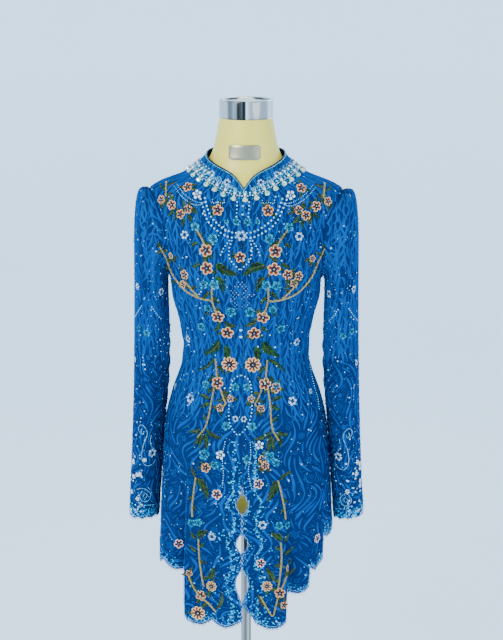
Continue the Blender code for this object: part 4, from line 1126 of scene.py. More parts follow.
def settle(points, outs):
    """Spots of the cloth nearest to points that lie outside it."""
    near, ways = [], []
    for point, out in zip(points, outs):
        hit = CLOTH_SURFACE.find_nearest(Vector((point + out * 4) / 1000))
        near.append(np.array(hit[0]) * 1000)
        ways.append(np.array(hit[1]) if np.dot(hit[1], out) > 0 else out)
    return Spots(near, ways)


SWAY_HEIGHTS, SWAY_X = np.array([  # the embroidery's middle line, which hangs a little off the form's
    (480, -2), (560, -2), (650, -4), (780, -10), (830, -13), (900, -8), (940, -5), (1000, -4), (1240, -5),
    (1320, -1), (1350, 0), (1500, 0),
]).T


def middle(height):
    return np.interp(height, SWAY_HEIGHTS, SWAY_X)


def smooth_path(knots, pitch):
    """Evenly spaced points on a smooth curve through the knots."""
    knots = np.array(knots, float)
    padded = np.concatenate([[2 * knots[0] - knots[1]], knots, [2 * knots[-1] - knots[-2]]])
    t = np.linspace(0, 1, 16, endpoint=False)[:, None]
    fine = [
        0.5 * (2 * b + (c - a) * t + (2 * a - 5 * b + 4 * c - d) * t**2 + (3 * b - a - 3 * c + d) * t**3)
        for a, b, c, d in zip(padded, padded[1:], padded[2:], padded[3:])
    ]
    fine = np.concatenate([*fine, padded[-2:-1]])
    lengths = lengths_along(fine)
    return between(np.linspace(0, lengths[-1], max(2, round(lengths[-1] / pitch) + 1)), lengths, fine)


def spots_along(points, outs):
    """Spots on a path, with up pointing along it."""
    return Spots(points, outs, unit(np.gradient(np.asarray(points), axis=0)))


def run_on_front(knots, pitch, side):
    """Spots along a curve. Knots are (distance from the middle, height) and side -1 mirrors them."""
    path = smooth_path(knots, pitch)
    spots, _ = lay(middle(path[:, 1]) + path[:, 0] * side, path[:, 1])
    return spots_along(spots.points, spots.outs) if len(spots) > 1 else spots


# ---------- the lace's plan: mm across and down
HALF_ROUND = 420.0  # from the centre front to the centre back on the body's plan
SLEEVE_ROUND = 260.0
ARM_X = 190.0  # the upright line inside the upper arm
ARM_REACH, ARM_RAY = 90.0, 88.0  # how far outside that line the rays start, and their length
MARGIN = 1.5  # how far the lace stays off the cloth's edges
LEVEL_STEP = 5.0
LEVELS = np.arange(485, 1431, LEVEL_STEP)
CLOSE_TURNS = [0.03, 0.1, 0.25, 0.5, 179.5, 179.75, 179.9, 179.97]  # beside the centre front and back
TURNS = np.unique(np.concatenate([np.arange(0, 181, 1.0), CLOSE_TURNS]))
SHARES = np.linspace(0, 1, 211)


def turn_table(side):
    """The ring angle at each share of the way round, level by level."""
    rows = []
    for height in LEVELS:
        share = lengths_along(half_cloth(side, TURNS, height))
        rows.append(np.interp(SHARES, share / share[-1], TURNS))
    return np.array(rows)


def look_up(table, row, column):
    """Values between the entries of a table."""
    j = np.clip(row.astype(int), 0, table.shape[0] - 2)
    i = np.clip(column.astype(int), 0, table.shape[1] - 2)
    v, u = np.clip(row - j, 0, 1), np.clip(column - i, 0, 1)
    if table.ndim == 3:
        v, u = v[:, None], u[:, None]
    low = table[j, i] * (1 - u) + table[j, i + 1] * u
    return low * (1 - v) + (table[j + 1, i] * (1 - u) + table[j + 1, i + 1] * u) * v


TURN_TABLES = {side: turn_table(side) for side in (1, -1)}
HOLES = {front: np.array([armhole_spot(t, front) for t in np.linspace(0, 1, 40)]) for front in (True, False)}
HEMS = {name: lobe_columns(name) for name in HEM_LOBES}


def hem_height(side, angle):
    """How low the cloth reaches at a ring angle."""
    word = "left" if side > 0 else "right"
    front, back = HEMS["front_" + word], HEMS["back_" + word]
    return np.where(angle < 90, np.interp(angle, *front.T), np.interp(180 - angle, *back.T))


def body_at(across, height):
    """Points and outs of the body's cloth on the plan, and which of them are really cloth."""
    across = (across + HALF_ROUND) % (2 * HALF_ROUND) - HALF_ROUND
    points, outs = np.empty((len(across), 3)), np.empty((len(across), 3))
    shown = np.empty(len(across), bool)
    for side in (1, -1):
        here = (across >= 0) == (side > 0)
        level = height[here]
        share = np.abs(across[here]) / HALF_ROUND * (len(SHARES) - 1)
        angle = look_up(TURN_TABLES[side], (level - LEVELS[0]) / LEVEL_STEP, share)
        points[here], outs[here] = cloth(side, angle, level)
        inside = (level > hem_height(side, angle) + MARGIN) & (level < collar_edge(angle) - 2)
        reach = np.where(angle < 90, *(np.interp(level, hole[:, 1], hole[:, 0]) for hole in HOLES.values()))
        beside_hole = (level > ARMPIT) & (level < SHOULDER_TIP)
        shown[here] = inside & (~beside_hole | (np.abs(points[here][:, 0]) < reach - MARGIN))
    return points, outs, shown


SLEEVE_DOWN = {
    word: np.concatenate([[0], np.cumsum(np.linalg.norm(np.diff(grid[0], axis=0), axis=-1).mean(1))])
    for word, grid in SLEEVES.items()
}


def sleeve_at(word):
    """The same for a sleeve: across runs from its top line towards the front, down from the shoulder seam."""
    points, outs = (np.concatenate([grid, grid[:, :1]], axis=1) for grid in SLEEVES[word])
    lengths = SLEEVE_DOWN[word]

    def at(across, down):
        column = (across / SLEEVE_ROUND) % 1 * (points.shape[1] - 1)
        row = np.interp(down, lengths, np.arange(len(lengths)))
        shown = (down > 1) & (down < lengths[-1] - MARGIN)
        return look_up(points, row, column), unit(look_up(outs, row, column)), shown

    return at


def sleeve_top_at(word):
    """A plan for the top of a sleeve, where the lace hangs straight down: round the arm, then height."""
    surface = gather_surface([SLEEVE_CLOTH[word]])
    axis = np.array([SIDES[word] * ARM_X, 0.0])

    def at(across, height):
        turn = across / SLEEVE_ROUND * 2 * math.pi
        ways = np.stack([SIDES[word] * np.cos(turn), -np.sin(turn), 0 * turn], -1)
        points, outs, shown = np.zeros(ways.shape), ways.copy(), np.zeros(len(turn), bool)
        for i, (way, z) in enumerate(zip(ways, height)):
            start = np.array([*(axis + way[:2] * ARM_REACH), z]) / 1000
            hit = surface.ray_cast(Vector(start), Vector(-way), ARM_RAY / 1000)
            if hit[0] is not None:
                normal = np.array(hit[1])
                points[i], outs[i] = np.array(hit[0]) * 1000, normal * np.sign(normal @ way)
                shown[i] = abs(normal @ way) > 0.12
        return points, outs, shown

    return at


class Lace:
    """Cords drawn on a plan and then sewn on the cloth together."""

    def __init__(self, at):
        self.at, self.paths, self.widths = at, [], []

    def draw(self, path, widths):
        self.paths.append(np.asarray(path, float))
        self.widths.append(np.broadcast_to(widths, (len(path),)))

    def sew(self, name):
        """Leaves out what falls off the cloth and makes the rest one piece."""
        whole = np.concatenate(self.paths)
        points, outs, shown = self.at(whole[:, 0], whole[:, 1])
        pile, start = Pile(), 0
        for path, widths in zip(self.paths, self.widths):
            here = slice(start, start + len(path))
            start += len(path)
            gaps = np.linalg.norm(np.diff(points[here], axis=0), axis=1)
            plan_gaps = np.linalg.norm(np.diff(path, axis=0), axis=1)
            good = shown[here]
            joined = good[1:] & good[:-1] & (gaps < 3 * plan_gaps + 2)
            run = []
            for i, held in enumerate(np.append(joined, False)):
                run.append(i)
                if not held:
                    if len(run) > 2:
                        pile.cord(points[here][run], outs[here][run], widths[run], CORD)
                    run = []
        return pile.piece(name, "lace", sharp=50)


# ---------- the lace's patterns
def spun(path, turn, x, y):
    """A path turned by turn radians and moved."""
    c, s = math.cos(turn), math.sin(turn)
    path = np.asarray(path)
    return np.stack([path[:, 0] * c - path[:, 1] * s + x, path[:, 0] * s + path[:, 1] * c + y], -1)


def blade(lace, x, y, turn, length, width, bend=0.15):
    """A leaf-shaped cord, pointed at both ends. turn 0 points up the cloth."""
    t = np.linspace(0, 1, 6)
    path = np.stack([bend * length * np.sin(math.pi * t), length * t], -1)
    lace.draw(spun(path, turn, x, y), 0.6 + (width - 0.6) * np.sin(math.pi * np.clip(t * 0.96 + 0.02, 0, 1)))


def rosette(lace, x, y, size, turn, petals):
    """A looped flower round a ring."""
    t = np.linspace(0, 2 * math.pi, petals * 8 + 1)
    radius = size * (0.74 + 0.26 * np.cos(petals * t))
    loops = np.stack([radius * np.cos(t), radius * np.sin(t)], -1)
    lace.draw(spun(loops, turn, x, y), np.clip(size * 0.17, 1.5, 3.6))
    small = t[:: petals // 2 + 1]
    ring = np.stack([np.cos(small), np.sin(small)], -1) * size * 0.24
    lace.draw(spun(ring, turn, x, y), np.clip(size * 0.2, 1.4, 3.6))
    for k in range(petals):
        way = turn + 2 * math.pi * k / petals
        blade(lace, x + math.cos(way) * size * 0.34, y + math.sin(way) * size * 0.34, way - math.pi / 2,
              size * 0.46, size * 0.16, 0.0)


def small_ring(lace, x, y, size, turn):
    t = np.linspace(0, 2 * math.pi, 9)
    lace.draw(spun(np.stack([np.cos(t), np.sin(t) * 1.2], -1) * size * 0.72, turn, x, y), max(1.5, size * 0.36))


def small_leaf(lace, x, y, size, turn):
    start = spun([[0, -size]], turn, x, y)[0]
    blade(lace, *start, turn, 2 * size, max(2.0, size * 0.7))


Eddy = namedtuple("Eddy", "x y size hand")
CELL = 1.6  # of the grid that keeps how far each place is from the nearest tape
REACH = 9  # cells round a tape that are brought up to date
STEP, SWIRL = 2.9, 4.5


class Streams:
    """Tapes that flow up the cloth and wind round eddies, side by side without touching."""

    def __init__(self, lace, low, high, eddy_size, eddy_tries):
        self.lace, self.low, self.high = lace, np.array(low, float), np.array(high, float)
        columns, rows = np.ceil((self.high - self.low) / CELL).astype(int)
        self.room = np.full((rows + 2 * REACH, columns), REACH * CELL)
        self.eddies = []
        for x, y in CHANCE.uniform(low, high, (eddy_tries, 2)):
            size = eddy_size * CHANCE.uniform(0.7, 1.2)
            if all(math.hypot(x - e.x, y - e.y) > 0.95 * (size + e.size) for e in self.eddies):
                self.eddies.append(Eddy(x, y, size, CHANCE.choice([-1, 1])))
        self.rows = np.array(self.eddies, float).reshape(-1, 4)

    def way(self, x, y):
        """The direction of the flow at a place."""
        away_x, away_y = x - self.rows[:, 0], y - self.rows[:, 1]
        size, hand = self.rows[:, 2], self.rows[:, 3]
        pull = SWIRL * hand * np.exp(-(away_x**2 + away_y**2) / size**2) / size
        wander = 0.7 * math.sin(y / 23 + 1.3 * math.sin(x / 31)) + 0.5 * math.sin(x / 13 + y / 37)
        dx = wander - (away_y * pull).sum()
        dy = 0.8 + (away_x * pull).sum()
        length = math.hypot(dx, dy) + 1e-6
        return dx / length, dy / length

    def cell(self, x, y):
        return int((y - self.low[1]) / CELL) + REACH, int((x - self.low[0]) / CELL) % self.room.shape[1]

    def free(self, x, y, need):
        return self.low[1] <= y < self.high[1] - CELL and self.room[self.cell(x, y)] > need

    def claim(self, path, half):
        """Notes the room left round a tape of a half width."""
        dj, di = np.mgrid[-REACH : REACH + 1, -REACH : REACH + 1]
        away = np.hypot(di, dj) * CELL - half
        for x, y in path:
            j, i = self.cell(x, y)
            here = (j + dj, (i + di) % self.room.shape[1])
            self.room[here] = np.minimum(self.room[here], away)

    def grow(self, x, y, width, gap, steps):
        """Follows the flow both ways from a place until another tape is near."""
        halves = []
        for sign in (1, -1):
            path, at = [], (x, y)
            for _ in range(steps):
                dx, dy = self.way(*at)
                at = (at[0] + STEP * sign * dx, at[1] + STEP * sign * dy)
                older = path[:-4] + halves[0][4:] if halves else path[:-4]
                near = any(math.hypot(at[0] - a, at[1] - b) < width + gap for a, b in older)
                if near or not self.free(*at, width / 2 + gap):
                    break
                path.append(at)
            halves.append(path)
        return np.array(halves[1][::-1] + [(x, y)] + halves[0])

    def run(self, tries, width, gap, shortest, steps):
        """Lays tapes from places at random, and then beside each tape already laid."""
        starts = [tuple(place) for place in CHANCE.uniform(self.low, self.high, (tries, 2))]
        while starts:
            x, y = starts.pop()
            if not self.free(x, y, width / 2 + gap):
                continue
            path = self.grow(x, y, width, gap, CHANCE.integers(steps // 2, steps))
            if len(path) < shortest:
                continue
            ends = np.minimum(np.arange(len(path)), np.arange(len(path))[::-1])
            swell = 1 + 0.3 * np.sin(np.arange(len(path)) / 3.5 + any_turn())
            taper = 0.3 + 0.7 * smooth((ends + 0.5) / 4.0)
            self.lace.draw(path, width * swell * taper * CHANCE.uniform(0.8, 1.2))
            self.claim(path, width / 2)
            along = unit(np.gradient(path, axis=0))
            beside = np.stack([along[:, 1], -along[:, 0]], -1) * (width + gap + CELL)
            starts += [tuple(place) for place in np.concatenate([path + beside, path - beside])[::4]]

    def place(self, motif, x, y, size, *more):
        motif(self.lace, x, y, size, any_turn(), *more)
        self.claim([(x, y)], size)


def fill_with_tape(lace, low, high, eddy_size, eddy_tries, width):
    """Fills a plan with flowing tapes, flowers at some of the eddies, and small leaves and rings between."""
    streams = Streams(lace, low, high, eddy_size, eddy_tries)
    for n, eddy in enumerate(streams.eddies):
        if n % 3 == 0:
            streams.place(rosette, eddy.x, eddy.y, eddy.size * 0.5, 5 + n % 2)
        elif n % 3 == 1:
            streams.place(small_ring, eddy.x, eddy.y, width * 0.9)
    area = (high[0] - low[0]) * (high[1] - low[1])
    streams.run(int(area / 400), width, gap=2.8, shortest=9, steps=44)
    streams.run(int(area / 60), width * 0.6, gap=2.0, shortest=6, steps=20)
    streams.run(int(area / 30), width * 0.34, gap=1.2, shortest=3, steps=10)
    for x, y in CHANCE.uniform(low, high, (int(area / 25), 2)):
        if streams.free(x, y, width * 0.55):
            motif = small_ring if CHANCE.random() < 0.4 else small_leaf
            streams.place(motif, x, y, width * CHANCE.uniform(0.4, 0.6))


SPRAY_SWAY, SPRAY_WAVE = 3.0, 30.0


def feathers(lace, low, high, start, end, pitch):
    """Upright sprays side by side, each a wavy rib with long leaves, like fern fronds."""
    for x in np.arange(low, high - pitch / 2, pitch):
        phase = any_turn()
        y = start + CHANCE.uniform(-14, 14)
        rib_y = np.arange(start - 10, end + 10, 5.0)
        lace.draw(np.stack([x + SPRAY_SWAY * np.sin(rib_y / SPRAY_WAVE + phase), rib_y], -1), 1.5)
        way = 1
        while y < end:
            base = x + SPRAY_SWAY * math.sin(y / SPRAY_WAVE + phase)
            length = CHANCE.uniform(24, 40)
            lean = CHANCE.uniform(0.16, 0.42)
            width, bend = CHANCE.uniform(3.9, 6.3), way * CHANCE.uniform(0.02, 0.22)
            blade(lace, base, y, -way * lean, length, width, bend)
            y += CHANCE.uniform(7, 12)
            way = -way


def make_lace():
    """Feather sprays on the upper body and sleeves, and flowing tape on the skirt and lower sleeves."""
    upper, skirt = Lace(body_at), Lace(body_at)
    feathers(upper, -HALF_ROUND, HALF_ROUND, start=918, end=1425, pitch=19.1)
    upper.sew("lace_bodice")
    fill_with_tape(skirt, (-HALF_ROUND, 490), (HALF_ROUND, 925), eddy_size=16, eddy_tries=1600, width=4.9)
    skirt.sew("lace_skirt")
    for word in SIDES:
        sleeve, top = Lace(sleeve_at(word)), Lace(sleeve_top_at(word))
        feathers(sleeve, 0, SLEEVE_ROUND, start=130, end=240, pitch=15.3)
        feathers(sleeve, 70, 190, start=-8, end=140, pitch=15.0)
        fill_with_tape(sleeve, (0, 255), (SLEEVE_ROUND, 665), eddy_size=12, eddy_tries=700, width=4.1)
        sleeve.sew("lace_sleeve_" + word)
        feathers(top, 0, SLEEVE_ROUND, start=1180, end=1350, pitch=14.4)
        top.sew("lace_sleeve_top_" + word)


make_form()
make_stand()
make_neck_plate()
make_lace()


# ---------- flowers, leaves and stems on the front
Bloom = namedtuple("Bloom", "side x height radius kind")  # side 0 is both sides, x is from the middle
BLOOMS = table(Bloom, [
    (0, 105, 1357, 9.5, "coral"), (0, 46, 1320, 10.5, "coral"), (0, 155, 1331, 8.5, "coral"),
    (0, 134, 1324, 9.5, "coral"), (0, 116, 1309, 9.0, "coral"), (0, 102, 1319, 8.5, "coral"),
    (1, 0, 1236, 10.0, "coral"), (0, 64, 1247, 12.0, "coral"), (0, 62, 1214, 12.0, "coral"),
    (0, 132, 1228, 7.0, "coral"), (-1, 105, 1197, 9.5, "coral"), (-1, 109, 1177, 8.0, "coral"),
    (1, 87, 1203, 9.5, "coral"), (1, 107, 1198, 9.0, "coral"), (1, 98, 1186, 8.0, "coral"),
    (0, 42, 1123, 12.0, "coral"), (0, 25, 1090, 12.0, "coral"), (0, 22, 1025, 15.0, "daisy"),
    (0, 45, 987, 11.5, "coral"), (1, 66, 978, 10.0, "coral"), (0, 20, 959, 7.0, "coral"),
    (0, 39, 941, 7.5, "coral"), (-1, 58, 825, 9.5, "coral"), (1, 50, 846, 8.0, "coral"),
    (1, 56, 833, 8.0, "coral"), (-1, 39, 775, 10.0, "blush"), (1, 42, 798, 9.5, "blush"),
    (-1, 123, 655, 9.5, "blush"), (1, 149, 667, 9.5, "blush"), (1, 40, 639, 9.0, "blush"),
    (-1, 101, 609, 7.0, "coral"), (-1, 57, 587, 10.5, "daisy"), (-1, 79, 564, 10.5, "coral"),
    (-1, 85, 526, 14.5, "daisy"), (1, 51, 591, 10.5, "daisy"), (1, 76, 577, 10.5, "coral"),
    (1, 90, 624, 6.5, "coral"), (1, 84, 551, 8.0, "coral"), (1, 0, 1275, 10.0, "silver"),
    (0, 86, 1346, 9.0, "pearl"), (0, 106, 1272, 8.5, "silver"), (0, 104, 1062, 8.0, "silver"),
    (0, 98, 950, 9.5, "silver"), (0, 132, 958, 6.0, "silver"), (0, 8, 922, 6.5, "silver"),
    (-1, 31, 852, 9.0, "pearl"), (1, 42, 873, 8.5, "pearl"), (-1, 53, 689, 8.5, "silver"),
    (1, 46, 716, 9.0, "silver"), (0, 10, 1300, 8.0, "aqua"), (0, 29, 1300, 5.0, "aqua"),
    (0, 86, 1289, 10.0, "aqua"), (0, 52, 1269, 10.5, "aqua"), (0, 67, 1184, 10.0, "aqua"),
    (0, 48, 1185, 10.5, "aqua"), (0, 18, 1133, 11.0, "aqua"), (0, 60, 1140, 9.0, "aqua"),
    (0, 74, 1097, 10.5, "aqua"), (0, 67, 982, 9.0, "aqua"), (0, 11, 982, 8.5, "aqua"),
    (0, 25, 908, 9.5, "aqua"), (0, 62, 850, 12.0, "aqua"), (-1, 40, 832, 9.5, "aqua"),
    (1, 76, 838, 8.5, "aqua"), (1, 20, 846, 9.0, "aqua"), (0, 78, 714, 9.0, "aqua"), (0, 92, 712, 9.0, "aqua"),
])
SLEEVE_BLOOMS = table(Bloom, [  # the same on both arms, x from the form's middle
    (0, 206, 1160, 7.5, "silver"), (0, 161, 1152, 8.0, "silver"), (0, 205, 1268, 6.0, "aqua"),
    (0, 204, 1078, 7.5, "aqua"), (0, 188, 1072, 7.5, "aqua"), (0, 215, 1010, 6.0, "silver"),
    (0, 185, 820, 9.5, "silver"),
])

Leaf = namedtuple("Leaf", "side x height tip_x tip_height width")
LEAVES = table(Leaf, [
    (0, 45, 1222, 6, 1204, 19), (0, 44, 1200, 30, 1172, 15), (0, 75, 1222, 92, 1214, 8),
    (0, 70, 1229, 55, 1237, 8), (0, 72, 1272, 83, 1280, 8), (0, 80, 1259, 92, 1253, 8),
    (0, 66, 1262, 53, 1256, 8), (0, 30, 1112, 8, 1102, 9), (0, 40, 1104, 50, 1092, 8),
    (0, 57, 1172, 68, 1160, 8), (0, 49, 1162, 38, 1150, 8), (0, 58, 1139, 66, 1124, 8),
    (0, 40, 1071, 71, 1038, 20), (0, 28, 1062, 29, 1033, 15), (0, 50, 1034, 83, 1005, 8),
    (0, 45, 1020, 34, 1007, 8), (0, 52, 1000, 62, 988, 7), (0, 59, 967, 66, 978, 7), (0, 60, 955, 79, 960, 9),
    (0, 60, 947, 75, 937, 9), (0, 35, 968, 21, 970, 8), (0, 33, 958, 45, 954, 7), (0, 64, 916, 70, 924, 7),
    (0, 62, 897, 31, 883, 9), (0, 71, 892, 84, 866, 10), (0, 64, 890, 61, 857, 11), (0, 74, 896, 96, 888, 9),
    (0, 68, 884, 72, 860, 8), (0, 76, 803, 57, 764, 17), (-1, 80, 805, 86, 822, 8), (1, 84, 805, 107, 818, 8),
    (0, 82, 684, 62, 699, 15), (0, 86, 681, 94, 693, 8), (0, 86, 655, 98, 666, 8), (0, 80, 665, 70, 672, 8),
    (0, 79, 637, 66, 632, 8), (0, 74, 600, 63, 606, 7), (0, 63, 601, 51, 627, 14), (-1, 97, 587, 86, 576, 8),
    (-1, 94, 598, 104, 592, 7), (-1, 60, 581, 61, 561, 7), (-1, 46, 541, 36, 576, 8),
    (-1, 66, 551, 77, 540, 9), (1, 49, 548, 34, 572, 9), (1, 66, 550, 80, 557, 8), (1, 86, 612, 98, 622, 7),
    (0, 146, 1339, 136, 1346, 8), (0, 148, 1349, 160, 1356, 7), (0, 144, 1356, 130, 1362, 7),
    (0, 142, 1338, 150, 1324, 8), (0, 130, 1316, 140, 1303, 8), (0, 124, 1312, 126, 1296, 8),
    (0, 110, 1302, 112, 1287, 8), (0, 103, 1308, 93, 1296, 8), (0, 96, 1318, 84, 1312, 7),
    (0, 110, 1322, 112, 1334, 7), (0, 152, 1240, 160, 1252, 7), (0, 140, 1212, 130, 1222, 7),
    (0, 92, 1170, 82, 1178, 7), (0, 151, 1236, 160, 1229, 6), (0, 148, 1230, 139, 1238, 6),
    (0, 137, 1205, 146, 1200, 6), (0, 122, 1181, 130, 1174, 6), (0, 69, 1158, 62, 1167, 6),
    (0, 87, 765, 96, 757, 6), (0, 90, 745, 81, 738, 6),
])
STEMS = [  # side 0 is both sides, then (x from the middle, height) knots
    (0, [(148, 1361), (147, 1349), (146, 1338)]), (0, [(84, 1284), (73, 1268), (66, 1254)]),
    (0, [(52, 1180), (52, 1156), (47, 1138), (43, 1126)]),
    (0, [(155, 1243), (143, 1220), (131, 1192), (108, 1168), (80, 1158), (54, 1155)]),
    (0, [(105, 1184), (90, 1170), (77, 1159)]), (0, [(49, 1033), (47, 1010), (46, 996)]),
    (0, [(51, 976), (56, 949), (59, 924), (64, 902), (71, 890), (78, 880)]),
    (0, [(39, 976), (32, 958), (28, 949), (35, 943)]), (0, [(79, 803), (84, 778), (89, 745), (90, 724)]),
    (0, [(80, 680), (80, 645), (76, 606), (72, 584)]),
    (-1, [(102, 603), (93, 580), (81, 562), (63, 549), (49, 534)]), (1, [(91, 620), (85, 600), (79, 584)]),
    (1, [(73, 572), (68, 549), (62, 528), (50, 546), (38, 570)]),
]


def both(side):
    """The signs of the sides that a table's row is for."""
    return (1, -1) if side == 0 else (side,)


def put_blooms(pile, rows, follow=True):
    """Stamps the flowers of a table. follow measures x from the embroidery's own middle."""
    for row in rows:
        for side in both(row.side):
            spots, _ = lay(row.x * side + (middle(row.height) if follow else 0), row.height)
            pile.stamp(FLOWERS[row.kind], spots.lifted(0.6), row.radius, any_turn())


def leaf_round(pile, x, height, out, length, width):
    """A small leaf that starts out from a flower's middle and points away from it."""
    turn = any_turn()
    away = np.array([out, out + length])
    ends, found = lay(x + away * math.cos(turn), height + away * math.sin(turn))
    if found.all():
        way = ends.points[1] - ends.points[0]
        add_leaf(pile, Spots(ends.points[:1], unit(ends.outs[:1] + ends.outs[1:]), unit(way)), length, width)


LEAVES_ROUND = {"coral": 3, "daisy": 1}  # small leaves that each kind of flower has


def make_embroidery():
    pile = Pile()
    put_blooms(pile, BLOOMS)
    put_blooms(pile, SLEEVE_BLOOMS, follow=False)
    pile.piece("flowers", "cream")
    vines = Pile()
    for side, knots in STEMS:
        for way in both(side):
            add_stem(vines, run_on_front(knots, 1.5, way))
    for row in LEAVES:
        for side in both(row.side):
            heights = [row.height, row.tip_height]
            ends, found = lay(middle(heights) + np.array([row.x, row.tip_x]) * side, heights)
            if not found.all():
                continue
            way = ends.points[1] - ends.points[0]
            length = float(np.linalg.norm(way))
            spot = Spots(ends.points[:1], unit(ends.outs[:1] + ends.outs[1:]), way / length)
            add_leaf(vines, spot, length, min(row.width, 0.62 * length))
    for row in BLOOMS:
        for side in both(row.side):
            for _ in range(LEAVES_ROUND.get(row.kind, 0)):
                leaf_round(vines, row.x * side + middle(row.height), row.height, row.radius * 0.8,
                           CHANCE.uniform(8, 11), CHANCE.uniform(5.0, 7.0))
    vines.piece("vines_and_leaves", "cream")


# ---------- chains of beads
LATTICE_HEIGHT, CLUSTER_HEIGHT = 1162.0, 1256.0
LATTICE_HALF_WIDTH, LATTICE_HALF_TALL, STONE_GAP_X, STONE_GAP_Z = 20, 28, 3.4, 3.9
Chain = namedtuple("Chain", "radius pitch knots")
CHAINS = table(Chain, [  # the same on both sides of the middle
    (2.1, 7.2, [(79, 1338), (72, 1320), (66, 1304), (54, 1290), (37, 1279), (21, 1272), (10, 1272)]),
    (2.1, 7.2, [(71, 1340), (65, 1322), (58, 1308), (47, 1297), (33, 1287), (18, 1281), (10, 1280)]),
    (1.0, 3.3, [(72, 1333), (84, 1332), (98, 1337), (112, 1346), (126, 1360)]),
    (1.0, 3.3, [(76, 1329), (88, 1327), (102, 1332), (116, 1341), (131, 1356)]),
    (1.9, 6.2, [(11, 1335), (11, 1309)]), (2.0, 14.0, [(0.5, 1328), (0.5, 1313)]),
    (1.8, 6.4, [(17, 1266), (21, 1250), (18, 1231), (2, 1214)]),
    (1.8, 6.4, [(21, 1266), (30, 1254), (36, 1240)]),
    (1.4, 4.4, [(35, 1338), (36, 1332), (46, 1334), (56, 1332), (57, 1338)]),
    (1.8, 6.6, [(1, 1004), (10, 1000), (17, 991), (20, 977), (21, 958), (22, 940), (20, 922), (14, 905),
                (3, 893)]),
    (2.4, 13.0, [(1, 1096), (1, 1082)]),
    (1.5, 4.6, [(128, 1002), (133, 982), (139, 962), (146, 940), (151, 920)]),
    (1.3, 4.6, [(24, 878), (27, 850), (24, 820), (28, 790)]),
])
SLEEVE_CHAINS = table(Chain, [
    (1.4, 4.7, [(198, 1124), (206, 1110), (215, 1094)]), (1.4, 4.7, [(178, 1124), (171, 1111), (163, 1098)]),
    (1.0, 2.8, [(207, 864), (210, 873), (207, 880), (201, 881), (195, 873), (193, 862), (197, 850),
                (202, 836), (205, 818), (203, 802), (196, 794), (186, 795), (180, 803)]),
    (1.0, 2.8, [(199, 868), (201, 862), (205, 866), (204, 872)]),
    (1.0, 2.8, [(207, 738), (212, 728), (207, 717), (196, 716), (190, 728), (196, 739), (206, 745),
                (216, 742)]),
    (0.9, 2.8, [(203, 731), (205, 726), (200, 723), (197, 729), (201, 734)]),
    (0.9, 3.0, [(186, 858), (188, 842), (183, 828)]),
    (0.9, 3.0, [(178, 700), (190, 706), (204, 706), (216, 700)]),
])


def string_beads(pile, shape, row, side, follow=True):
    """Strings beads along a row's knots. follow measures x from the embroidery's own middle."""
    path = smooth_path(row.knots, row.pitch)
    x = path[:, 0] * side + (middle(path[:, 1]) if follow else 0)
    spots, _ = lay(x, path[:, 1])
    pile.stamp(shape, spots.lifted(row.radius * 0.7), row.radius)


def make_chains():
    """The strung beads, a lattice of stones between the breasts and a small cluster above it."""
    pile = Pile()
    for side in (1, -1):
        for row in CHAINS:
            string_beads(pile, SMALL_BEAD if row.radius < 2 else ball(8, 6, SMALL_PEARL), row, side)
        for row in SLEEVE_CHAINS:
            string_beads(pile, SMALL_BEAD, row, side, follow=False)
    i, j = np.mgrid[-8:9, -8:9].reshape(2, -1)
    x, z = (i - j) * STONE_GAP_X, (i + j) * STONE_GAP_Z
    x, z = np.array([x, z])[:, (x / LATTICE_HALF_WIDTH) ** 2 + (z / LATTICE_HALF_TALL) ** 2 < 1]
    spots, _ = lay(middle(LATTICE_HEIGHT) + x, LATTICE_HEIGHT + z)
    pile.stamp(STONE, spots, CHANCE.uniform(0.7, 1.3, len(spots)), CHANCE.uniform(0, 6, len(spots)))
    x, z = CHANCE.normal(0, 3.4, (16, 2)).T
    spots, _ = lay(middle(CLUSTER_HEIGHT) + x, CLUSTER_HEIGHT + z)
    pile.stamp(ball(6, 4, TEAL_GLASS), spots.lifted(0.8), 1.5)
    pile.piece("bead_chains", "pearl")


# ---------- the collar's necklace and edge
def collar_seam():
    """Points and outs along the collar's seam on the left side, from the centre front to the centre back."""
    places = [neck_place(turn, True) for turn in np.linspace(0, 90, 61)]
    places += [neck_place(turn, False) for turn in np.linspace(90, 0, 41)[1:]]
    angle, height = np.array(places).T
    return cloth(1, angle, height)


SEAM_POINTS, SEAM_OUTS = collar_seam()
SEAM_LENGTHS = lengths_along(SEAM_POINTS)


def round_collar(marks, drop=0.0):
    """Spots beside the collar's seam at signed distances from the centre front, their up to the neck."""
    marks = np.asarray(marks, float)
    flip = np.stack([np.where(marks < 0, -1.0, 1.0), np.ones_like(marks), np.ones_like(marks)], -1)
    points, outs, along = (
        between(np.abs(marks), SEAM_LENGTHS, values)
        for values in (SEAM_POINTS, SEAM_OUTS, np.gradient(SEAM_POINTS, axis=0))
    )
    points, outs = points * flip, unit(outs) * flip
    up = unit(np.cross(outs, along * flip))
    up = np.where(up[:, 2:] < 0, -up, up)
    spots = settle(points - up * np.reshape(drop, (-1, 1)), outs)
    return Spots(spots.points, spots.outs, up)


def every(step, reach, start=0.0):
    """Signed distances from the centre front at a step."""
    right = np.arange(start, reach, step)
    return np.concatenate([-right[::-1][: len(right) - (start == 0)], right])


DROP_PITCH, DROP_LENGTH, PEARL_RADIUS = 18.6, 12.0, 3.0


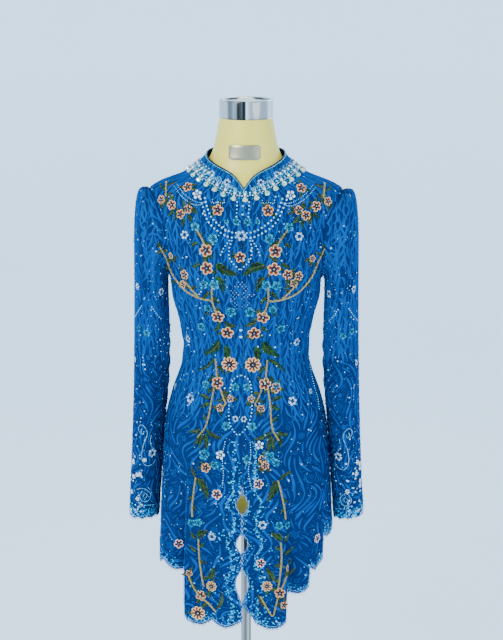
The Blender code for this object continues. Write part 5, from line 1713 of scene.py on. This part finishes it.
def make_necklace():
    """Teardrops under pearls, with smaller glass beads packed round them and up onto the collar."""
    pile = Pile()
    reach = SEAM_LENGTHS[-1] - 5
    units = every(DROP_PITCH, reach) + 2.5
    pale, aqua, facet = ball(7, 5, SMALL_PEARL), ball(7, 5, AQUA_GLASS), ball(6, 4, SILVER_GLASS)
    heads = round_collar(units)
    pile.stamp(ROUND_BEAD, heads.lifted(2.2), PEARL_RADIUS)
    pile.stamp(DROP, heads.moved(0, -2.6, 2.8), DROP_LENGTH, CHANCE.normal(0, 0.09, len(heads)))
    rows = [  # how far beside the pearl and below the seam, and the bead's size
        (4.7, -1.5, 2.0, aqua), (4.9, 3.0, 1.9, facet), (5.6, 7.4, 1.5, aqua), (9.3, -2.0, 2.0, pale),
        (9.3, 2.4, 2.3, facet), (9.3, 7.0, 1.9, aqua), (2.4, -4.6, 1.7, pale), (6.9, -4.8, 1.7, aqua),
    ]
    for step, drop, size, shape in rows:
        for way in (1, -1) if step < 9 else (1,):
            spots = round_collar(units + step * way, drop)
            pile.stamp(shape, spots.lifted(size * 0.8), size)
    for offset, size, shape in ((-7.6, 1.5, pale), (-10.2, 1.0, SMALL_BEAD)):
        spots = round_collar(every(size * 2.9, reach, 16), offset)
        pile.stamp(shape, spots.lifted(size * 0.7), size)
    sides = every(11.0, reach, 72)
    clusters = [  # above the drops at the neck's sides: how far beside and above the seam, and the bead's size
        (0, -10.5, 2.4, ROUND_BEAD), (5.5, -8.0, 2.4, aqua), (2.5, -14.5, 2.2, aqua), (8.0, -13.5, 2.3, facet),
        (5.0, -18.0, 1.7, facet),
    ]
    for offset, drop, size, shape in clusters:
        spots = round_collar(sides + offset * np.sign(sides), drop)
        pile.stamp(shape, spots.lifted(size * 0.8), size)
    obj = pile.piece("collar_necklace", "pearl", sharp=25)
    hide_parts("necklace_left", "necklace_right")


COLLAR_FLOWERS = [  # x, height, radius and kind, the same on both sides
    (31, 1369, 7.0, "silver"), (60, 1382, 6.5, "silver"), (74, 1391, 6.0, "aqua"), (46, 1374, 5.5, "aqua"),
    (20, 1361, 4.0, "aqua"),
]


def make_collar_beads():
    """Rows of beads round the collar's upper edge, and flowers below it."""
    pile = Pile()
    for side in (1, -1):
        angle = np.concatenate([np.linspace(0.2, 30, 90), np.linspace(31, 178, 150)])
        rim, ways = cloth(side, angle, collar_edge(angle) - 0.3)
        pile.tube(rim + ways * 0.5, 0.9, TEAL_GLASS)
        for lower, size, paint in ((2.5, 0.85, SMALL_PEARL), (4.6, 0.8, AQUA_GLASS)):
            points, outs = cloth(side, angle, collar_edge(angle) - lower)
            path = smooth_path(points, size * 2.3)
            ways = between(np.linspace(0, 1, len(path)), np.linspace(0, 1, len(outs)), outs)
            pile.stamp(ball(6, 4, paint), Spots(path, unit(ways)).lifted(0.4), size)
        for x, height, radius, kind in COLLAR_FLOWERS:
            spots, _ = lay(side * x, height)
            pile.stamp(FLOWERS[kind], spots.lifted(0.5), radius, any_turn())
    pile.piece("collar_beads", "pearl")


# ---------- stones, sequins and fringe
STONE_LIFT = 0.9
LASH_PITCH, PICOT_RADIUS = 1.1, 0.45


def spots_on(at, across, down):
    """Spots at places of a plan, without those that miss the cloth."""
    points, outs, shown = at(across, down)
    return Spots(points[shown], outs[shown])


def strewn(at, low, high, count):
    """Spots at random on a plan."""
    return spots_on(at, *CHANCE.uniform(low, high, (count, 2)).T)


PATCH_LOW, PATCH_HIGH, PATCH_STONES = (20, 465), (66, 612), 46  # on the sleeve's plan


def make_scattered_stones():
    """Stones and beads strewn over the whole lace, and a denser patch down the front of each lower sleeve."""
    pile = Pile()
    kinds = [  # with how many on the body and on each sleeve, and their sizes
        (STONE, 420, 120, 1.2, 2.1), (ball(8, 6, SMALL_PEARL), 60, 22, 1.6, 2.3),
        (SMALL_BEAD, 900, 330, 0.7, 1.1), (ball(5, 3, AQUA_GLASS), 520, 200, 0.8, 1.4),
    ]
    for shape, on_body, on_sleeve, small, large in kinds:
        groups = [strewn(body_at, (-HALF_ROUND, 500), (HALF_ROUND, 1375), on_body)]
        groups += [strewn(sleeve_at(word), (0, 10), (SLEEVE_ROUND, 660), on_sleeve) for word in SIDES]
        for spots in groups:
            sizes = CHANCE.uniform(small, large, len(spots))
            pile.stamp(shape, spots.lifted(STONE_LIFT), sizes, any_turn(len(spots)))
    for word in SIDES:
        spots = strewn(sleeve_at(word), PATCH_LOW, PATCH_HIGH, PATCH_STONES)
        pile.stamp(FLOWERS["pearl"], spots[::6].lifted(0.6), 4.6, 0.4)
        pile.stamp(STONE, spots.lifted(STONE_LIFT), CHANCE.uniform(1.8, 3.0, len(spots)), 0.5)
    pile.piece("scattered_stones", "pearl")


def edge_band(side, count, spread):
    """Spots near the hem on one side, thickest at the edge."""
    angle = CHANCE.uniform(0, 180, count)
    rise = np.abs(CHANCE.normal(0, spread, count))
    return Spots(*cloth(side, angle, hem_height(side, angle) + MARGIN + rise))


EDGE_LINE = {1: 22.0, -1: 14.0}  # how far from the front edge the line of sequins runs, on each side


def make_sequins():
    """Sequins and seed beads along the hem, the front edges and the cuffs."""
    pile = Pile()
    seed = ball(5, 3, SEQUIN)
    for side in (1, -1):
        groups = [edge_band(side, 560, 8.0)]
        lines = [(EDGE_LINE[side], 2.2, 330, 880), (5.0, 1.6, 90, 850), (32.0, 7.0, 80, 860)]
        for centre, spread, count, top in lines:
            across = side * np.clip(CHANCE.normal(centre, spread, count), 1.5, 60)
            groups.append(spots_on(body_at, across, CHANCE.uniform(515, top, count)))
        for spots in groups:
            half = len(spots) // 2
            turn = any_turn(len(spots))
            discs, seeds = spots[:half].lifted(STONE_LIFT), spots[half:].lifted(STONE_LIFT)
            pile.stamp(SEQUIN_DISC, discs, CHANCE.uniform(1.1, 1.9, half), turn[:half])
            pile.stamp(seed, seeds, CHANCE.uniform(0.7, 1.2, len(seeds)))
            pile.stamp(SMALL_BEAD, spots[::5].moved(1.5, 0, 1.2), 0.8)
    for word in SIDES:
        across = CHANCE.uniform(0, SLEEVE_ROUND, 420)
        down = SLEEVE_DOWN[word][-1] - 2 - np.abs(CHANCE.normal(0, 16, 420))
        spots = spots_on(sleeve_at(word), across, down)
        pile.stamp(SEQUIN_DISC, spots.lifted(STONE_LIFT), CHANCE.uniform(1.2, 1.9, len(spots)), 0.4)
    pile.piece("sequin_borders", "lace")


def hair(paint):
    """A single eyelash thread, one unit long, hanging down."""
    points = [(-0.06, 0, 0), (0.06, 0, 0), (0, 0, 0.08), (0.05, -1, 0.03)]
    return Pile().add(points, [np.array([[0, 3, 1], [1, 3, 2], [2, 3, 0]])], paint)


def hem_spots(side, pitch):
    """Spots along the hem from the centre front to the centre back."""
    angle = np.concatenate([np.linspace(0, 89.9, 700), np.linspace(90.1, 180, 500)])
    points, outs = cloth(side, angle, hem_height(side, angle) + 1.0)
    return every_so_far(points, outs, pitch)


def every_so_far(points, outs, pitch):
    """Spots on a row of points at a pitch."""
    lengths = lengths_along(points)
    pick = np.searchsorted(lengths, np.arange(0, lengths[-1], pitch)).clip(0, len(points) - 1)
    return Spots(points[pick], outs[pick])


def make_fringe():
    """Eyelash threads on the hem, cuffs and slit, and a scalloped thread on the front edges and hem."""
    pile = Pile()
    strand, pale = hair(CORD), hair(EDGE_THREAD)
    edges = [hem_spots(side, LASH_PITCH) for side in (1, -1)]
    for grid in SLEEVES.values():
        rims = [np.concatenate([part[-1], part[-1, :1]]) for part in grid]
        marks = np.arange(len(rims[0]))
        points, outs = (between(np.linspace(0, marks[-1], 800), marks, rim) for rim in rims)
        edges.append(every_so_far(points + [0, 0, 0.8], unit(outs), LASH_PITCH))
    threads = [(strand, 1, 4.5, 9.0, 0.35), (pale, 2, 3.0, 6.5, 0.5)]  # every how many spots, lengths, lean
    for spots in edges:
        for thread, step, low, high, spread in threads:
            here = spots[::step]
            count = len(here)
            pile.stamp(thread, here, CHANCE.uniform(low, high, count), CHANCE.normal(0, spread, count))
    for side in (1, -1):
        levels = np.linspace(float(hem_height(side, 0.0)) + 2, SLIT_HEIGHTS[-1] + 12, 420)
        points, outs = cloth(side, 0.0 * levels, levels)
        spots = every_so_far(points, outs, 1.3)
        open_here = slit_gap(spots.points[:, 2]) > 1
        pile.stamp(pale, spots[open_here], CHANCE.uniform(1.6, 3.4, open_here.sum()), side * -1.25)
        edge = points + np.array([side, 0, 0]) * (1.4 + 0.9 * np.sin(levels / 1.7))[:, None] + outs * 0.5
        pile.tube(edge, PICOT_RADIUS, EDGE_THREAD, sides=3)
    for side in (1, -1):
        spots = hem_spots(side, 1.6)
        wave = 2.2 + 1.5 * np.abs(np.sin(np.arange(len(spots)) * 0.45))
        pile.tube(spots.moved(0, wave, 0.7).points, PICOT_RADIUS, EDGE_THREAD, sides=3)
    pile.piece("eyelash_fringe", "lace")


COIL_HALF_WIDTH, COIL_LEAN, COIL_RADIUS = 0.55, 0.25, 0.3


def make_zip_details():
    """The zip's coil between the collar's ends, and finishes for its tape, slider and pull tab."""
    coil = Pile()
    heights = np.arange(neck_place(0, False)[1] + 1, SLIDER_BOTTOM, COIL_PITCH)
    points, outs = cloth(1, np.full(len(heights), 180.0), heights)
    points[:, 0] = 0
    for n, point in enumerate(points - outs * 1.5):
        turn = np.array([COIL_HALF_WIDTH, 0, COIL_LEAN if n % 2 else -COIL_LEAN])
        coil.tube(point + np.array([-turn, 0 * turn, turn]), COIL_RADIUS, CORD)
    coil.piece("zip_coil", "zip")
    for node, paint in (("zip_tape", NET), ("zip_slider", PLATE), ("zip_pull", PLATE)):
        for slot in bpy.data.objects[node].material_slots:
            slot.material = paint


make_zip_details()
make_embroidery()
make_chains()
make_necklace()
make_collar_beads()
make_scattered_stones()
make_sequins()
make_fringe()


# ---------- stage, lights and camera
FLOOR_RADIUS, COVE, WALL_TOP = 4.6, 1.2, 6.0


def make_stage():
    """A pale round studio cove, in metres: the floor runs up into a wall on every side."""
    steps = 72
    bend = np.linspace(0.1, math.pi / 2, 12)
    profile = [(0.6, 0.0), (FLOOR_RADIUS, 0.0)]
    profile += [(FLOOR_RADIUS + COVE * math.sin(t), COVE - COVE * math.cos(t)) for t in bend]
    profile += [(FLOOR_RADIUS + COVE, WALL_TOP)]
    turn = np.arange(steps) * 2 * math.pi / steps
    points = [(radius * math.cos(t), radius * math.sin(t), z) for radius, z in profile for t in turn]
    mesh = bpy.data.meshes.new("floor_and_wall")
    faces = grid_quads(len(profile), steps, True)[:, ::-1].tolist()
    mesh.from_pydata(points, [], [*faces, list(range(steps))])
    mesh.shade_smooth()
    mesh.materials.append(make_backdrop_paint("pale_backdrop", (0.42, 0.50, 0.60), (0.47, 0.55, 0.64)))
    floor = put_in_scene("floor_and_wall", mesh)


AIM_HEIGHT = 1.05
Lamp = namedtuple("Lamp", "name x y z size power red green blue")
LAMPS = table(Lamp, [
    ("key", -1.6, -2.6, 2.6, 0.9, 86, 1.0, 0.98, 0.95), ("fill", 2.4, -2.2, 1.8, 1.8, 22, 0.94, 0.97, 1.0),
    ("top", 0.0, -0.3, 3.2, 1.6, 18, 1.0, 1.0, 1.0), ("back", 0.6, 1.7, 2.6, 1.4, 22, 0.95, 0.97, 1.0),
])


def make_lights():
    for row in LAMPS:
        light = bpy.data.lights.new(row.name, "AREA")
        light.shape = "DISK"
        light.size = row.size
        light.energy = row.power
        light.color = (row.red, row.green, row.blue)
        obj = put_in_scene(row.name, light)
        obj.location = (row.x, row.y, row.z)
        aim = Vector((0, 0, AIM_HEIGHT)) - obj.location
        obj.rotation_euler = aim.to_track_quat("-Z", "Y").to_euler()
    world = bpy.data.worlds.new("studio")
    world.use_nodes = True
    background = world.node_tree.nodes["Background"].inputs
    background["Color"].default_value = (0.72, 0.85, 1.0, 1)
    background["Strength"].default_value = 0.3
    bpy.context.scene.world = world


CAMERA_DISTANCE, CAMERA_HEIGHT, CAMERA_PITCH, CAMERA_TURN = 2.4, 1.752, 15.5, 3.0
FOCAL_PIXELS, IMAGE_HEIGHT, AXIS_SHIFT, SENSOR = 1275.0, 640.0, 5.5, 36.0


def make_camera():
    camera = bpy.data.cameras.new("camera")
    camera.sensor_fit = "VERTICAL"
    camera.sensor_height = SENSOR
    camera.lens = FOCAL_PIXELS / IMAGE_HEIGHT * SENSOR
    camera.shift_x = AXIS_SHIFT / IMAGE_HEIGHT
    turn = math.radians(CAMERA_TURN)
    obj = put_in_scene("camera", camera)
    obj.location = (CAMERA_DISTANCE * math.sin(turn), -CAMERA_DISTANCE * math.cos(turn), CAMERA_HEIGHT)
    obj.rotation_euler = (math.radians(90 - CAMERA_PITCH), 0, turn)
    bpy.context.scene.camera = obj


make_stage()
make_lights()
make_camera()
